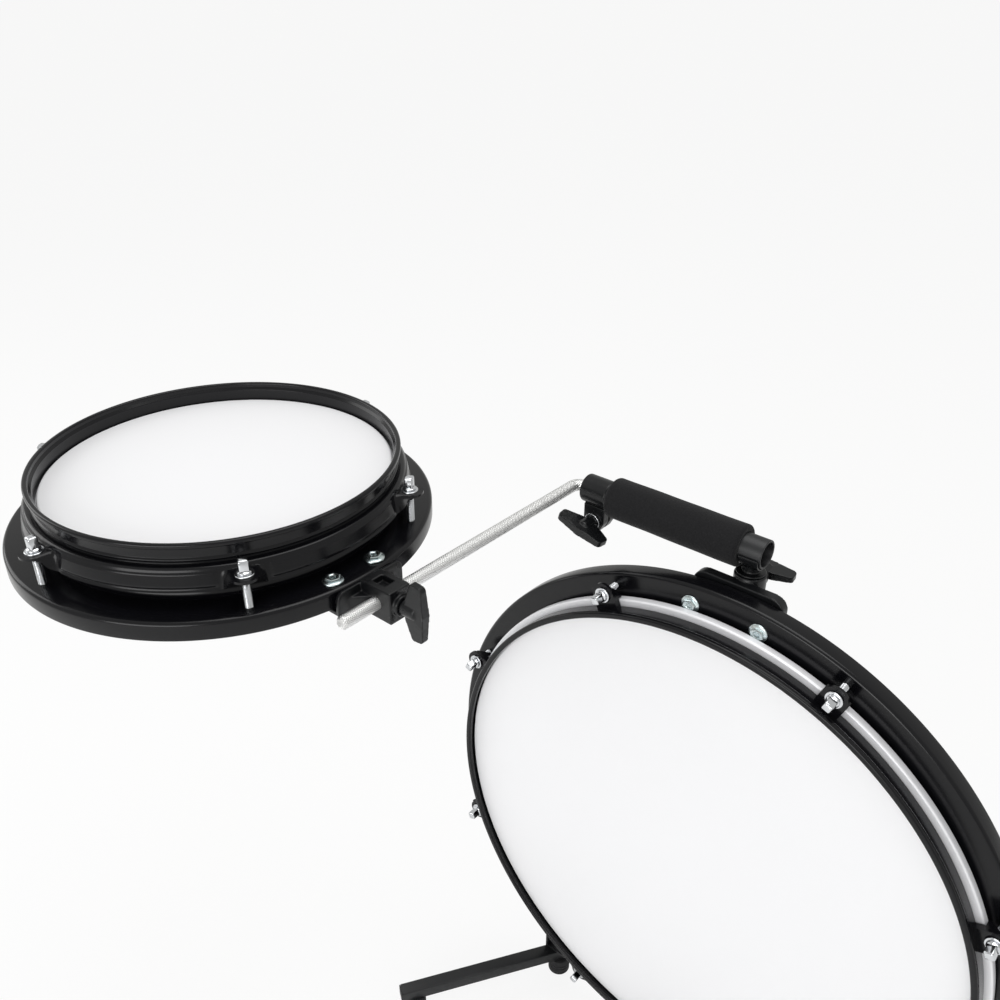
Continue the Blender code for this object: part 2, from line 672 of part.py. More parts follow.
def bass_counterhoop(drum):
    """Plain rolled hoop with a folded bracket at each lug."""
    outer, inner = lip_corners(drum)
    shape = rounded(outer + [
        (drum.wall_outer, -LIP_HEIGHT - 0.8 * MM), (drum.wall_outer, -drum.seat_depth),
        (drum.wall_inner, -drum.seat_depth), (drum.wall_inner, -LIP_HEIGHT - HOOP_WALL)] + inner)
    item = place(turned(drum.name + "_counterhoop", shape, drum.steps, True), drum.frame)
    ears = pattern("ears", bass_ear_mesh(drum), drum.lug_places())
    fuse(item, place(ears, drum.frame))
    hole = solid_mesh(pin("ear_hole", ROD_SHANK_R + SEAT_GAP, -drum.ear_depth - 2 * BASS_EAR_SHEET,
                          -drum.ear_depth + CUT_MARGIN))
    cut(item, place(pattern("holes", hole, drum.lug_places()), drum.frame))
    return paint(item, GLOSS_BLACK)


def snare_ear_mesh(drum):
    """Pressed ear: a flat tongue round the rod that spreads into the skirt, with a chin under it."""
    root_x = drum.flesh_r + SHOULDER_GAP + HOOP_WALL - 2 * FUSE_BITE - drum.rod_circle_r
    root = PRESSED_EAR_ROOT / 2
    tip = PRESSED_EAR_TIP_R
    neck_x = root_x + PRESSED_EAR_NECK
    shoulder_x = root_x + PRESSED_EAR_NECK * 0.4
    shoulder_y = root - CUT_MARGIN
    under = -drum.ear_depth - PRESSED_EAR_SHEET
    foot = -drum.ear_depth - PRESSED_EAR_CHIN
    tongue = slab("ear", rounded([
        (root_x, -root), (shoulder_x, -shoulder_y, 2.0 * MM), (neck_x, -tip, 5.0 * MM),
        (tip, -tip, tip - FACE_STEP), (tip, tip, tip - FACE_STEP),
        (neck_x, tip, 5.0 * MM), (shoulder_x, shoulder_y, 2.0 * MM), (root_x, root)], 2),
        PRESSED_EAR_SHEET)
    tongue.location = (0, 0, -drum.ear_depth - PRESSED_EAR_SHEET / 2)
    chin = slab("chin", rounded([
        (root_x, under + 2 * FUSE_BITE), (tip * 0.45, under + 2 * FUSE_BITE),
        (tip * 0.45, under - FUSE_BITE, 1.5 * MM), (root_x + FUSE_BITE, foot), (root_x, foot)], 1),
        PRESSED_EAR_CHIN_WIDTH)
    chin.rotation_euler = FACE_BACK
    fuse(tongue, chin)
    return solid_mesh(tongue)


def snare_counterhoop(drum):
    """Pressed hoop: rolled lip, band with a bead, shoulder round the flesh hoop, and a flared skirt."""
    outer, inner = lip_corners(drum)
    out = drum.wall_outer
    shoulder_top = drum.seat_depth - HOOP_WALL
    shoulder_r = drum.flesh_r + SHOULDER_GAP + HOOP_WALL
    skirt_r = shoulder_r + SKIRT_FLARE
    skirt_depth = drum.seat_depth + SKIRT_DROP
    shape = rounded(outer + [
        (out, -LIP_HEIGHT - HOOP_WALL / 2), (out, -BEAD_DEPTH + BEAD_HALF_HEIGHT),
        (out + BEAD_RISE, -BEAD_DEPTH), (out, -BEAD_DEPTH - BEAD_HALF_HEIGHT), (out, -shoulder_top),
        (shoulder_r, -shoulder_top, FINE_EDGE_R), (skirt_r, -skirt_depth),
        (skirt_r - HOOP_WALL, -skirt_depth), (shoulder_r - HOOP_WALL, -drum.seat_depth),
        (drum.wall_inner, -drum.seat_depth), (drum.wall_inner, -LIP_HEIGHT - HOOP_WALL)] + inner)
    item = place(turned(drum.name + "_counterhoop", shape, drum.steps, True), drum.frame)
    ears = pattern("ears", snare_ear_mesh(drum), drum.lug_places())
    fuse(item, place(ears, drum.frame))
    hole = solid_mesh(pin("ear_hole", ROD_SHANK_R + SEAT_GAP,
                          -drum.ear_depth - PRESSED_EAR_CHIN - CUT_MARGIN, -drum.ear_depth + CUT_MARGIN))
    cut(item, place(pattern("holes", hole, drum.lug_places()), drum.frame))
    return paint(item, GLOSS_BLACK)


def tension_rods(drum):
    """Square-headed key rods, each with a captive washer, screwed into the pan's weld nuts."""
    seat = -drum.ear_depth + SEAT_GAP
    collar = seat + ROD_WASHER_HEIGHT
    key = collar + ROD_COLLAR_HEIGHT
    end = -drum.face_depth - PAN_WALL - ROD_NUT_HEIGHT - ROD_TAIL
    shape = [(0, key), (ROD_COLLAR_R, key), (ROD_COLLAR_R, collar), (ROD_WASHER_R, collar),
             (ROD_WASHER_R, seat), (ROD_SHANK_R, seat), (ROD_SHANK_R, end), (0, end)]
    rod = turned("rod", shape, FASTENER_STEPS, False)
    fuse(rod, block("key_head", (ROD_HEAD_WIDTH, ROD_HEAD_WIDTH, ROD_HEAD_HEIGHT + CUT_MARGIN),
                    (0, 0, key + ROD_HEAD_HEIGHT / 2 - FUSE_BITE), 0.9 * MM))
    names = [drum.name + "_tension_rod_" + str(i + 1) for i in range(drum.lugs)]
    fasteners(names, solid_mesh(rod), drum.frame, drum.lug_places(), CHROME)


def bracket_screws(drum, names, places, grip):
    """Flange screws through the pan's face, long enough for the bracket and nut behind it."""
    top = -drum.face_depth + SEAT_GAP
    end = top - SEAT_GAP - grip - SCREW_TAIL
    shape = rounded([
        (0, top + SCREW_FLANGE_HEIGHT + FUSE_BITE),
        (SCREW_HEX_R * 0.8, top + SCREW_FLANGE_HEIGHT + FUSE_BITE), (SCREW_FLANGE_R, top + 0.7 * MM),
        (SCREW_FLANGE_R, top), (SCREW_SHANK_R, top), (SCREW_SHANK_R, end), (0, end)], 1)
    screw = turned("screw", shape, FASTENER_STEPS, False)
    fuse(screw, pin("hex", SCREW_HEX_R, top + SCREW_FLANGE_HEIGHT / 2, top + SCREW_HEX_HEIGHT, 6))
    fasteners(names, solid_mesh(screw), drum.frame, places, ZINC)
    hole = solid_mesh(pin("screw_hole", SCREW_SHANK_R + SEAT_GAP, -drum.face_depth - PAN_WALL - CUT_MARGIN,
                          -drum.face_depth + CUT_MARGIN))
    pan = bpy.data.objects[drum.name + "_pan_ring"]
    cut(pan, place(pattern("holes", hole, places), drum.frame))


def screw_holes(places, low, high):
    """Holes for the bracket screws, through a bracket between two levels."""
    hole = solid_mesh(pin("screw_hole", SCREW_SHANK_R + SEAT_GAP, low, high))
    return pattern("holes", hole, places)


def weld_nuts(places, top):
    """Nuts behind a bracket, for the bracket screws."""
    nut = solid_mesh(pin("nut", NUT_HEX_R, top - NUT_HEIGHT, top, 6))
    return pattern("nuts", nut, places)


def wing_screw(name, shank_length):
    """Winged clamp screw. Local Z runs out of the casting, and z = 0 is its face."""
    shape = rounded([(0, WING_HUB_HEIGHT), (WING_HUB_R, WING_HUB_HEIGHT), (WING_HUB_R, 0, 0.8 * MM),
                     (WING_SHANK_R, 0), (WING_SHANK_R, -shank_length), (0, -shank_length)], 2)
    item = turned(name, shape, FASTENER_STEPS + 2, False)
    half = [(0, WING_RISE), (WING_HUB_R + 1.5 * MM, WING_RISE, 3.0 * MM),
            (WING_HALF_SPAN, WING_TIP_RISE, 2.6 * MM),
            (WING_HALF_SPAN - 1.2 * MM, WING_REACH - 1.6 * MM, 3.4 * MM),
            (WING_HUB_R + 3.0 * MM, WING_REACH - 0.8 * MM, 6.0 * MM), (0, WING_REACH)]
    wing = slab("wing", rounded(mirrored_outline(half), 2), WING_THICKNESS)
    edge = wing.modifiers.new("edge", "BEVEL")
    edge.width = WING_EDGE_R
    edge.segments = 1
    edge.limit_method = "ANGLE"
    edge.angle_limit = math.radians(50)
    wing.rotation_euler = FACE_BACK
    fuse(item, wing)
    return item


def finished(item, name, material):
    """Piece with its shape fixed in one mesh, ready to be placed."""
    return paint(new_object(name, solid_mesh(item)), material)


# Frames: the bass drum's centre, the swivel, the grip tube, the rod and the snare drum
kit_frame = empty("kit_frame", None, BASS_PLACE)
bass_frame = empty("bass_drum_axis", kit_frame, (0, 0, 0), FACE_BACK)
swivel_axis = empty("swivel_axis", kit_frame, (0, GRIP_DEPTH, BARREL_TOP))
grip_axis = empty("grip_tube_axis", swivel_axis, (0, 0, GRIP_HEIGHT - BARREL_TOP))
rod_axis = empty("snare_rod_axis", grip_axis, (LROD_X, BLOCK_Y, 0))
snare_frame = empty("snare_drum_axis", rod_axis, (-SNARE_ROD_OFFSET, 0, SNARE_ROD_DEPTH))

bass.frame = bass_frame
snare.frame = snare_frame
for drum in (bass, snare):
    pan_ring(drum)
    drum_head(drum)
    flesh_hoop(drum)
    tension_rods(drum)
bass_counterhoop(bass)
snare_counterhoop(snare)


def pair_places(radius, half_pitch, middle_angle):
    """Two places on a circle, each at half the pitch from a middle angle."""
    turn = math.asin(half_pitch / radius)
    return [Matrix.Rotation(middle_angle + side * turn, 4, "Z") @ Matrix.Translation((radius, 0, 0))
            for side in (-1, 1)]


# Bracket behind the top of the bass drum
bracket_back = bass.back_depth + SEAT_GAP
bracket_places = pair_places(BASS_SCREW_CIRCLE_R, BRACKET_SCREW_HALF_PITCH, QUARTER)
bracket_screws(bass, ("handle_bracket_screw_right", "handle_bracket_screw_left"), bracket_places,
               bracket_back + BRACKET_THICKNESS - bass.face_depth)


def handle_bracket():
    """Casting: plate behind the pan, and a barrel that takes the tee's stem."""
    half = BRACKET_WIDTH / 2
    low = bass.pan_r - BRACKET_DROP
    high = bass.pan_r + BRACKET_RISE
    corner = BRACKET_CORNER_R
    item = slab("handle_bracket", rounded([(-half, low, corner), (half, low, corner),
                                           (half, high, corner), (-half, high, corner)]),
                BRACKET_THICKNESS)
    place(item, kit_frame, (0, bracket_back + BRACKET_THICKNESS / 2, 0), FACE_BACK)
    barrel_low = BARREL_TOP - BARREL_LENGTH
    screw_height = BARREL_TOP - BARREL_SCREW_DROP
    web_depth = GRIP_DEPTH - bracket_back - BRACKET_THICKNESS / 2
    web = block("web", (BARREL_WEB_WIDTH, web_depth, high - barrel_low - 4 * CUT_MARGIN),
                (0, GRIP_DEPTH - web_depth / 2, (high - 3 * CUT_MARGIN + barrel_low) / 2 + FUSE_BITE))
    barrel = pin("barrel", BARREL_R, barrel_low, BARREL_TOP, SHAFT_STEPS)
    boss = pin("boss", BARREL_BOSS_R, BARREL_R / 2, BARREL_BOSS_REACH, 16)
    fuse(item, place(web, kit_frame), place(barrel, kit_frame, (0, GRIP_DEPTH, 0)),
         place(boss, kit_frame, (0, GRIP_DEPTH, screw_height), ALONG_Y))
    bore = pin("bore", STEM_R + RUNNING_GAP, BARREL_TOP - STEM_LENGTH - 1.5 * MM, BARREL_TOP + CUT_MARGIN,
               SHAFT_STEPS)
    thread = pin("thread", WING_SHANK_R + SEAT_GAP, STEM_R - CUT_MARGIN, BARREL_BOSS_REACH + CUT_MARGIN)
    back_face = -bracket_back - BRACKET_THICKNESS
    holes = screw_holes(bracket_places, back_face - CUT_MARGIN, -bracket_back + CUT_MARGIN)
    cut(item, place(bore, kit_frame, (0, GRIP_DEPTH, 0)),
        place(thread, kit_frame, (0, GRIP_DEPTH, screw_height), ALONG_Y),
        place(holes, bass_frame))
    paint(item, CAST_BLACK)
    screw = finished(wing_screw("wing", BARREL_BOSS_REACH - STEM_R - RUNNING_GAP),
                     "receiver_wing_screw", CAST_BLACK)
    place(screw, kit_frame, (0, GRIP_DEPTH + BARREL_BOSS_REACH + SEAT_GAP, screw_height), ALONG_Y)


handle_bracket()


def handle_tee():
    """Half saddle under the grip tube, on a neck and a stem that turns in the barrel."""
    collar = -SADDLE_R - TEE_NECK_HEIGHT
    under = collar - TEE_COLLAR_HEIGHT
    neck_top = -SADDLE_R + 2 * CUT_MARGIN
    shape = rounded([(0, neck_top), (TEE_NECK_R, neck_top), (TEE_NECK_R, collar),
                     (TEE_COLLAR_R, collar), (TEE_COLLAR_R, under), (STEM_R, under),
                     (STEM_R, under - STEM_LENGTH, 1.0 * MM), (0, under - STEM_LENGTH)])
    item = place(turned("handle_tee", shape, SHAFT_STEPS, False), grip_axis)
    saddle = pin("saddle", SADDLE_R, SADDLE_SHIFT - SADDLE_LENGTH / 2, SADDLE_SHIFT + SADDLE_LENGTH / 2,
                 SHAFT_STEPS)
    seat = pin("seat", GRIP_TUBE_R + SEAT_GAP, -SADDLE_LENGTH, SADDLE_LENGTH, SHAFT_STEPS)
    opening = block("opening", (2 * SADDLE_LENGTH, 3 * SADDLE_R, 2 * SADDLE_R),
                    (0, 0, SADDLE_R - SADDLE_OPEN_BELOW))
    fuse(item, place(saddle, grip_axis, (0, 0, 0), ALONG_X))
    cut(item, place(seat, grip_axis, (0, 0, 0), ALONG_X), place(opening, grip_axis))
    return paint(item, CAST_BLACK)


def grip_tube():
    """Open steel tube, with a soft sleeve along its middle."""
    inner = GRIP_TUBE_R - GRIP_TUBE_WALL
    length = TUBE_RIGHT_X - TUBE_LEFT_X
    tube = turned("handle_tube", rounded([(inner, length), (GRIP_TUBE_R, length, 0.6 * MM),
                                          (GRIP_TUBE_R, 0, 0.6 * MM), (inner, 0)], 1), SHAFT_STEPS, True)
    paint(place(tube, grip_axis, (TUBE_LEFT_X, 0, 0), ALONG_X), SATIN_BLACK)
    bore = GRIP_TUBE_R + SEAT_GAP
    foam = turned("foam_grip", rounded([(bore, FOAM_LENGTH), (FOAM_R, FOAM_LENGTH, FOAM_END_R),
                                        (FOAM_R, 0, FOAM_END_R), (bore, 0)], 3), SHAFT_STEPS, True)
    paint(place(foam, grip_axis, (FOAM_LEFT_X, 0, 0), ALONG_X), FOAM)


def rod_clamp():
    """Split casting plugged into the tube, closed on the rod's liner by a winged bolt."""
    plug_r = GRIP_TUBE_R - GRIP_TUBE_WALL - SEAT_GAP
    length = CLAMP_PLUG_END_X - CLAMP_FACE_X
    shape = rounded([(0, length), (plug_r, length, 0.8 * MM), (plug_r, CLAMP_HEAD_LENGTH),
                     (CLAMP_HEAD_R, CLAMP_HEAD_LENGTH, 0.8 * MM), (CLAMP_HEAD_R, 0, 1.2 * MM), (0, 0)], 2)
    item = place(turned("rod_clamp", shape, SHAFT_STEPS, False), grip_axis, (CLAMP_FACE_X, 0, 0), ALONG_X)
    bolt_x = CLAMP_FACE_X + CLAMP_BOLT_INSET
    left, right = bolt_x - CLAMP_EAR_R, bolt_x + CLAMP_EAR_R
    low = -CLAMP_BOLT_DROP - CLAMP_EAR_R
    ear_round = CLAMP_EAR_R - SEAT_GAP
    ear = slab("ear", rounded([(left, 0), (left - FUSE_BITE, -CLAMP_HEAD_R), (left, low, ear_round),
                               (right, low, ear_round), (right + 2 * FUSE_BITE, -CLAMP_HEAD_R),
                               (right, 0)], 4), CLAMP_EAR_THICKNESS)
    fuse(item, place(ear, grip_axis, (0, 0, 0), FACE_BACK))
    bore = pin("bore", LINER_SOCKET_R, CLAMP_FACE_X - CUT_MARGIN, CLAMP_PLUG_END_X + CUT_MARGIN, SHAFT_STEPS)
    slit_low = low - 2 * CUT_MARGIN
    slit = block("slit", (CLAMP_HEAD_LENGTH + 4 * CUT_MARGIN, CLAMP_SLIT, -slit_low),
                 (CLAMP_FACE_X + CLAMP_HEAD_LENGTH / 2 - CUT_MARGIN, 0, slit_low / 2))
    hole = pin("hole", WING_SHANK_R + SEAT_GAP, -CLAMP_EAR_THICKNESS, CLAMP_EAR_THICKNESS)
    cut(item, place(bore, grip_axis, (0, 0, 0), ALONG_X), place(slit, grip_axis),
        place(hole, grip_axis, (bolt_x, 0, -CLAMP_BOLT_DROP), ALONG_Y))
    paint(item, CAST_BLACK)

    face = CLAMP_EAR_THICKNESS / 2
    ring = [(WING_SHANK_R + SEAT_GAP, CLAMP_WASHER_HEIGHT), (CLAMP_WASHER_R, CLAMP_WASHER_HEIGHT, 0.4 * MM),
            (CLAMP_WASHER_R, 0), (WING_SHANK_R + SEAT_GAP, 0)]
    washer = turned("rod_clamp_washer", rounded(ring, 1), 20, True)
    paint(place(washer, grip_axis, (bolt_x, -face - SEAT_GAP, -CLAMP_BOLT_DROP), ALONG_MINUS_Y), CHROME)
    stack = 2 * SEAT_GAP + CLAMP_WASHER_HEIGHT
    reach = stack + CLAMP_EAR_THICKNESS - CUT_MARGIN
    screw = finished(wing_screw("wing", reach), "rod_clamp_wing_screw", CAST_BLACK)
    place(screw, grip_axis, (bolt_x, -face - stack, -CLAMP_BOLT_DROP),
          (QUARTER, math.radians(16), 0))


def liner(name, length, steps=SHAFT_STEPS):
    """Split nylon liner with a small flange at z = 0, in which the rod slides."""
    flange_r = LINER_R + LINER_FLANGE_RISE
    item = turned(name, [(LINER_BORE_R, length), (LINER_R, length), (LINER_R, LINER_FLANGE),
                         (flange_r, LINER_FLANGE), (flange_r, 0), (LINER_BORE_R, 0)], steps, True)
    return paint(item, NYLON)


def l_rod():
    """Knurled rod with a short leg in the grip tube and a long leg towards the player."""
    turn_x = LROD_X + LROD_BEND_R
    path = [(turn_x + LROD_SHORT_LEG, 0, 0), (turn_x + LROD_SHORT_LEG - LROD_CHAMFER, 0, 0)]
    for step in range(LROD_BEND_STEPS + 1):
        angle = QUARTER * step / LROD_BEND_STEPS
        path.append((turn_x - LROD_BEND_R * math.sin(angle), -LROD_BEND_R * (1 - math.cos(angle)), 0))
    end = -LROD_BEND_R - LROD_LONG_LEG
    path += [(LROD_X, end + LROD_CHAMFER, 0), (LROD_X, end, 0)]
    rod = rod_curve("l_rod", path, LROD_R, LROD_R - LROD_CHAMFER, 16)
    return paint(place(rod, grip_axis), KNURLED_STEEL)


handle_tee()
grip_tube()
rod_clamp()
place(liner("rod_clamp_liner", CLAMP_PLUG_END_X - LINER_FACE_X), grip_axis, (LINER_FACE_X, 0, 0), ALONG_X)
l_rod()


snare_places = pair_places(snare.rod_circle_r, SNARE_SCREW_HALF_PITCH, 0.0)


def snare_bracket():
    """Casting on the pan's wall: plate, foot under the pan, and the block that grips the rod."""
    wall_x = snare.pan_r + SEAT_GAP
    outer_x = wall_x + SNARE_BRACKET_THICKNESS
    foot_top = -snare.back_depth - SEAT_GAP
    low = foot_top - SNARE_BRACKET_FOOT_THICKNESS
    half = SNARE_BRACKET_WIDTH / 2
    corner = SNARE_BRACKET_CORNER_R
    plate_top = SNARE_BRACKET_RISE - snare.face_depth
    item = slab("snare_bracket", rounded([(-half, low, 1.5 * MM), (half, low, 1.5 * MM),
                                          (half, plate_top, corner),
                                          (-half, plate_top, corner)]),
                SNARE_BRACKET_THICKNESS)
    place(item, snare_frame, (wall_x + SNARE_BRACKET_THICKNESS / 2, 0, 0), FACE_SIDE)
    foot_half = half - CUT_MARGIN
    foot_end = wall_x - SNARE_BRACKET_FOOT_REACH
    foot_root = outer_x - CUT_MARGIN
    foot = slab("foot", rounded([(foot_root, -foot_half), (foot_root, foot_half),
                                 (foot_end, foot_half, corner), (foot_end, -foot_half, corner)]),
                SNARE_BRACKET_FOOT_THICKNESS - FUSE_BITE)
    block_height = BLOCK_ABOVE_ROD + BLOCK_BELOW_ROD
    block_low = -SNARE_ROD_DEPTH - BLOCK_BELOW_ROD
    body = block("block", (BLOCK_LENGTH + CUT_MARGIN, BLOCK_WIDTH, block_height),
                 (outer_x + BLOCK_LENGTH / 2 - FUSE_BITE, 0, block_low + block_height / 2), BLOCK_EDGE_R)
    block_end = outer_x + BLOCK_LENGTH
    boss = pin("boss", BLOCK_BOSS_R, block_end - 3 * CUT_MARGIN, block_end + BLOCK_BOSS_REACH, 16)
    fuse(item, place(foot, snare_frame, (0, 0, foot_top - SNARE_BRACKET_FOOT_THICKNESS / 2)),
         place(body, snare_frame), place(boss, snare_frame, (0, 0, -SNARE_ROD_DEPTH), ALONG_X))
    bore = pin("bore", LINER_SOCKET_R, -BLOCK_WIDTH, BLOCK_WIDTH, SHAFT_STEPS)
    top = block_low + block_height
    pocket = block("pocket", (BLOCK_POCKET + 1.5 * MM, BLOCK_POCKET, 2 * BLOCK_POCKET_DEPTH),
                   (SNARE_ROD_OFFSET - 2.5 * MM, 0, top))
    thread = pin("thread", WING_SHANK_R + SEAT_GAP, SNARE_ROD_OFFSET + LINER_R - CUT_MARGIN,
                 block_end + BLOCK_BOSS_REACH + CUT_MARGIN)
    fuse(item, place(weld_nuts(snare_places, foot_top - CUT_MARGIN), snare_frame))
    holes = screw_holes(snare_places, foot_top - NUT_HEIGHT - 2 * CUT_MARGIN, foot_top + CUT_MARGIN)
    cut(item, place(bore, snare_frame, (SNARE_ROD_OFFSET, 0, -SNARE_ROD_DEPTH), ALONG_Y),
        place(pocket, snare_frame), place(thread, snare_frame, (0, 0, -SNARE_ROD_DEPTH), ALONG_X),
        place(holes, snare_frame))
    paint(item, CAST_BLACK)
    face = block_end + BLOCK_BOSS_REACH
    screw = finished(wing_screw("wing", face - SNARE_ROD_OFFSET - LINER_R - RUNNING_GAP),
                     "snare_wing_screw", CAST_BLACK)
    place(screw, snare_frame, (face + SEAT_GAP, 0, -SNARE_ROD_DEPTH),
          Matrix(((0, 0, 1), (0, 1, 0), (-1, 0, 0))).to_euler())
    shoe = liner("snare_clamp_liner", BLOCK_WIDTH + LINER_FLANGE + SEAT_GAP)
    place(shoe, rod_axis, (0, BLOCK_WIDTH / 2 + LINER_FLANGE + SEAT_GAP, 0), ALONG_MINUS_Y)


bracket_screws(snare, ("snare_bracket_screw_front", "snare_bracket_screw_rear"), snare_places,
               snare.back_depth + SNARE_BRACKET_FOOT_THICKNESS - snare.face_depth)
snare_bracket()


def snare_wires():
    """Wires under the snare head, soldered at both ends to plates on tabs inside the collar."""
    wire_level = -SNARE_HEAD_DEPTH - HEAD_FILM - WIRE_UNDER_HEAD - WIRE_R
    strand = solid_mesh(pin("strand", WIRE_R, -WIRE_LENGTH / 2, WIRE_LENGTH / 2, 8))
    width = WIRE_PITCH * (WIRE_COUNT - 1)
    plate_top = wire_level - WIRE_R / 2
    plate_y = WIRE_LENGTH / 2 - END_PLATE_DEPTH / 2 + CUT_MARGIN
    item = block("snare_wires", (width + 2 * END_PLATE_MARGIN, END_PLATE_DEPTH, END_PLATE_SHEET),
                 (0, plate_y, plate_top - END_PLATE_SHEET / 2))
    place(item, snare_frame)
    far = block("far_plate", (width + 2 * END_PLATE_MARGIN, END_PLATE_DEPTH, END_PLATE_SHEET),
                (0, -plate_y, plate_top - END_PLATE_SHEET / 2))
    strands = pattern("strands", strand, [
        Matrix.Translation((WIRE_PITCH * i - width / 2, 0, wire_level)) @ Matrix.Rotation(QUARTER, 4, "X")
        for i in range(WIRE_COUNT)])
    fuse(item, place(strands, snare_frame), place(far, snare_frame))
    paint(item, WIRE_STEEL)

    half = WIRE_TAB_WIDTH / 2
    wall_y = math.sqrt((SNARE_COLLAR_R - PAN_WALL) ** 2 - half ** 2) + 1.2 * MM
    tab_top = plate_top - END_PLATE_SHEET - SEAT_GAP
    tab_y = plate_y - END_PLATE_DEPTH / 2
    low = -snare.face_depth - PAN_WALL + 3 * CUT_MARGIN
    angle = slab("angle", [(tab_y, tab_top), (wall_y, tab_top), (wall_y, low),
                           (wall_y - WIRE_TAB_SHEET, low),
                           (wall_y - WIRE_TAB_SHEET, tab_top - WIRE_TAB_SHEET),
                           (tab_y, tab_top - WIRE_TAB_SHEET)], WIRE_TAB_WIDTH)
    angle.rotation_euler = FACE_SIDE
    turns = [Matrix.Rotation(turn, 4, "Z") for turn in (0.0, math.pi)]
    tabs = pattern("wire_tabs", solid_mesh(angle), turns)
    fuse(bpy.data.objects["snare_pan_ring"], place(tabs, snare_frame))


snare_wires()


def leg_bracket(side, name):
    """Folded bracket: plate behind the pan, two gussets, and a shelf that carries the leg's bolt."""
    bolt_x = side * LEG_PIVOT_X
    bar_top = LEG_BAR_CLEARANCE + LEG_BAR_WIDTH
    shelf_low = bar_top + SEAT_GAP - BASS_CENTRE_HEIGHT
    sheet = LEG_POST_SHEET
    back_y = bracket_back + sheet / 2
    half = LEG_POST_WIDTH / 2
    front_y = LEG_PIVOT_DEPTH - LEG_POST_FRONT
    pad_angle = -math.acos(LEG_PIVOT_X / BASS_SCREW_CIRCLE_R)
    middle = Vector((LEG_PIVOT_X * side, BASS_SCREW_CIRCLE_R * math.sin(pad_angle)))
    lean = pad_angle + QUARTER if side > 0 else -(pad_angle + QUARTER)
    long = LEG_PAD_LENGTH / 2
    high = LEG_PAD_HEIGHT / 2
    pad = rounded([(-long, -high, LEG_PAD_CORNER_R), (long, -high, LEG_PAD_CORNER_R),
                   (long, high, LEG_PAD_CORNER_R), (-long, high, LEG_PAD_CORNER_R)], 3)
    item = slab(name, pad, sheet)
    place(item, kit_frame, (middle.x, back_y, middle.y), (QUARTER, -lean, 0))
    post_top = middle.y + CUT_MARGIN
    post = slab("post", [(bolt_x - half, shelf_low), (bolt_x + half, shelf_low),
                         (bolt_x + half, post_top), (bolt_x - half, post_top)], sheet - 2 * FACE_STEP)
    shelf_depth = back_y - front_y
    shelf = block("shelf", (LEG_POST_WIDTH - FUSE_BITE, shelf_depth, sheet),
                  (bolt_x, front_y + shelf_depth / 2, shelf_low + sheet / 2 + FACE_STEP / 2))
    fuse(item, place(post, kit_frame, (0, back_y, 0), FACE_BACK), place(shelf, kit_frame))
    gusset = rounded([(front_y, shelf_low), (back_y, shelf_low),
                      (back_y, shelf_low + LEG_GUSSET_BACK_HEIGHT),
                      (back_y - sheet / 2, shelf_low + LEG_GUSSET_BACK_HEIGHT),
                      (front_y, shelf_low + LEG_GUSSET_FRONT_HEIGHT, 3 * MM)], 3)
    for edge in (-1, 1):
        wall = slab("gusset", gusset, sheet)
        fuse(item, place(wall, kit_frame, (bolt_x + edge * (half - sheet / 2 - FACE_STEP), 0, 0), FACE_SIDE))
    bolt_hole = pin("bolt_hole", LEG_BOLT_R + SEAT_GAP, shelf_low - CUT_MARGIN,
                    shelf_low + sheet + CUT_MARGIN)
    places = leg_screw_places(side)
    holes = screw_holes(places, -bracket_back - sheet - NUT_HEIGHT - CUT_MARGIN, -bracket_back + CUT_MARGIN)
    nuts = weld_nuts(places, -bracket_back - sheet + FUSE_BITE)
    fuse(item, place(nuts, bass_frame))
    cut(item, place(bolt_hole, kit_frame, (bolt_x, LEG_PIVOT_DEPTH, 0)), place(holes, bass_frame))
    paint(item, SATIN_BLACK)


def leg_screw_places(side):
    """The two screw places of a leg bracket, in the bass drum's frame."""
    angle = -math.acos(LEG_PIVOT_X / BASS_SCREW_CIRCLE_R)
    middle_angle = angle if side > 0 else math.pi - angle
    return pair_places(BASS_SCREW_CIRCLE_R, LEG_SCREW_HALF_PITCH, middle_angle)


def foot_outline(height, socket_r=0.0, socket_depth=0.0):
    """Round rubber foot with a rounded lower edge, and a socket in its top where it needs one."""
    top = [(0, height - socket_depth), (socket_r, height - socket_depth), (socket_r, height)]
    if socket_depth == 0.0:
        top = [(0, height)]
    return rounded(top + [(FOOT_R - FUSE_BITE, height), (FOOT_R, height - FOOT_EDGE_R),
                          (FOOT_R, 0, FOOT_EDGE_R),
                          (0, 0)], 2)


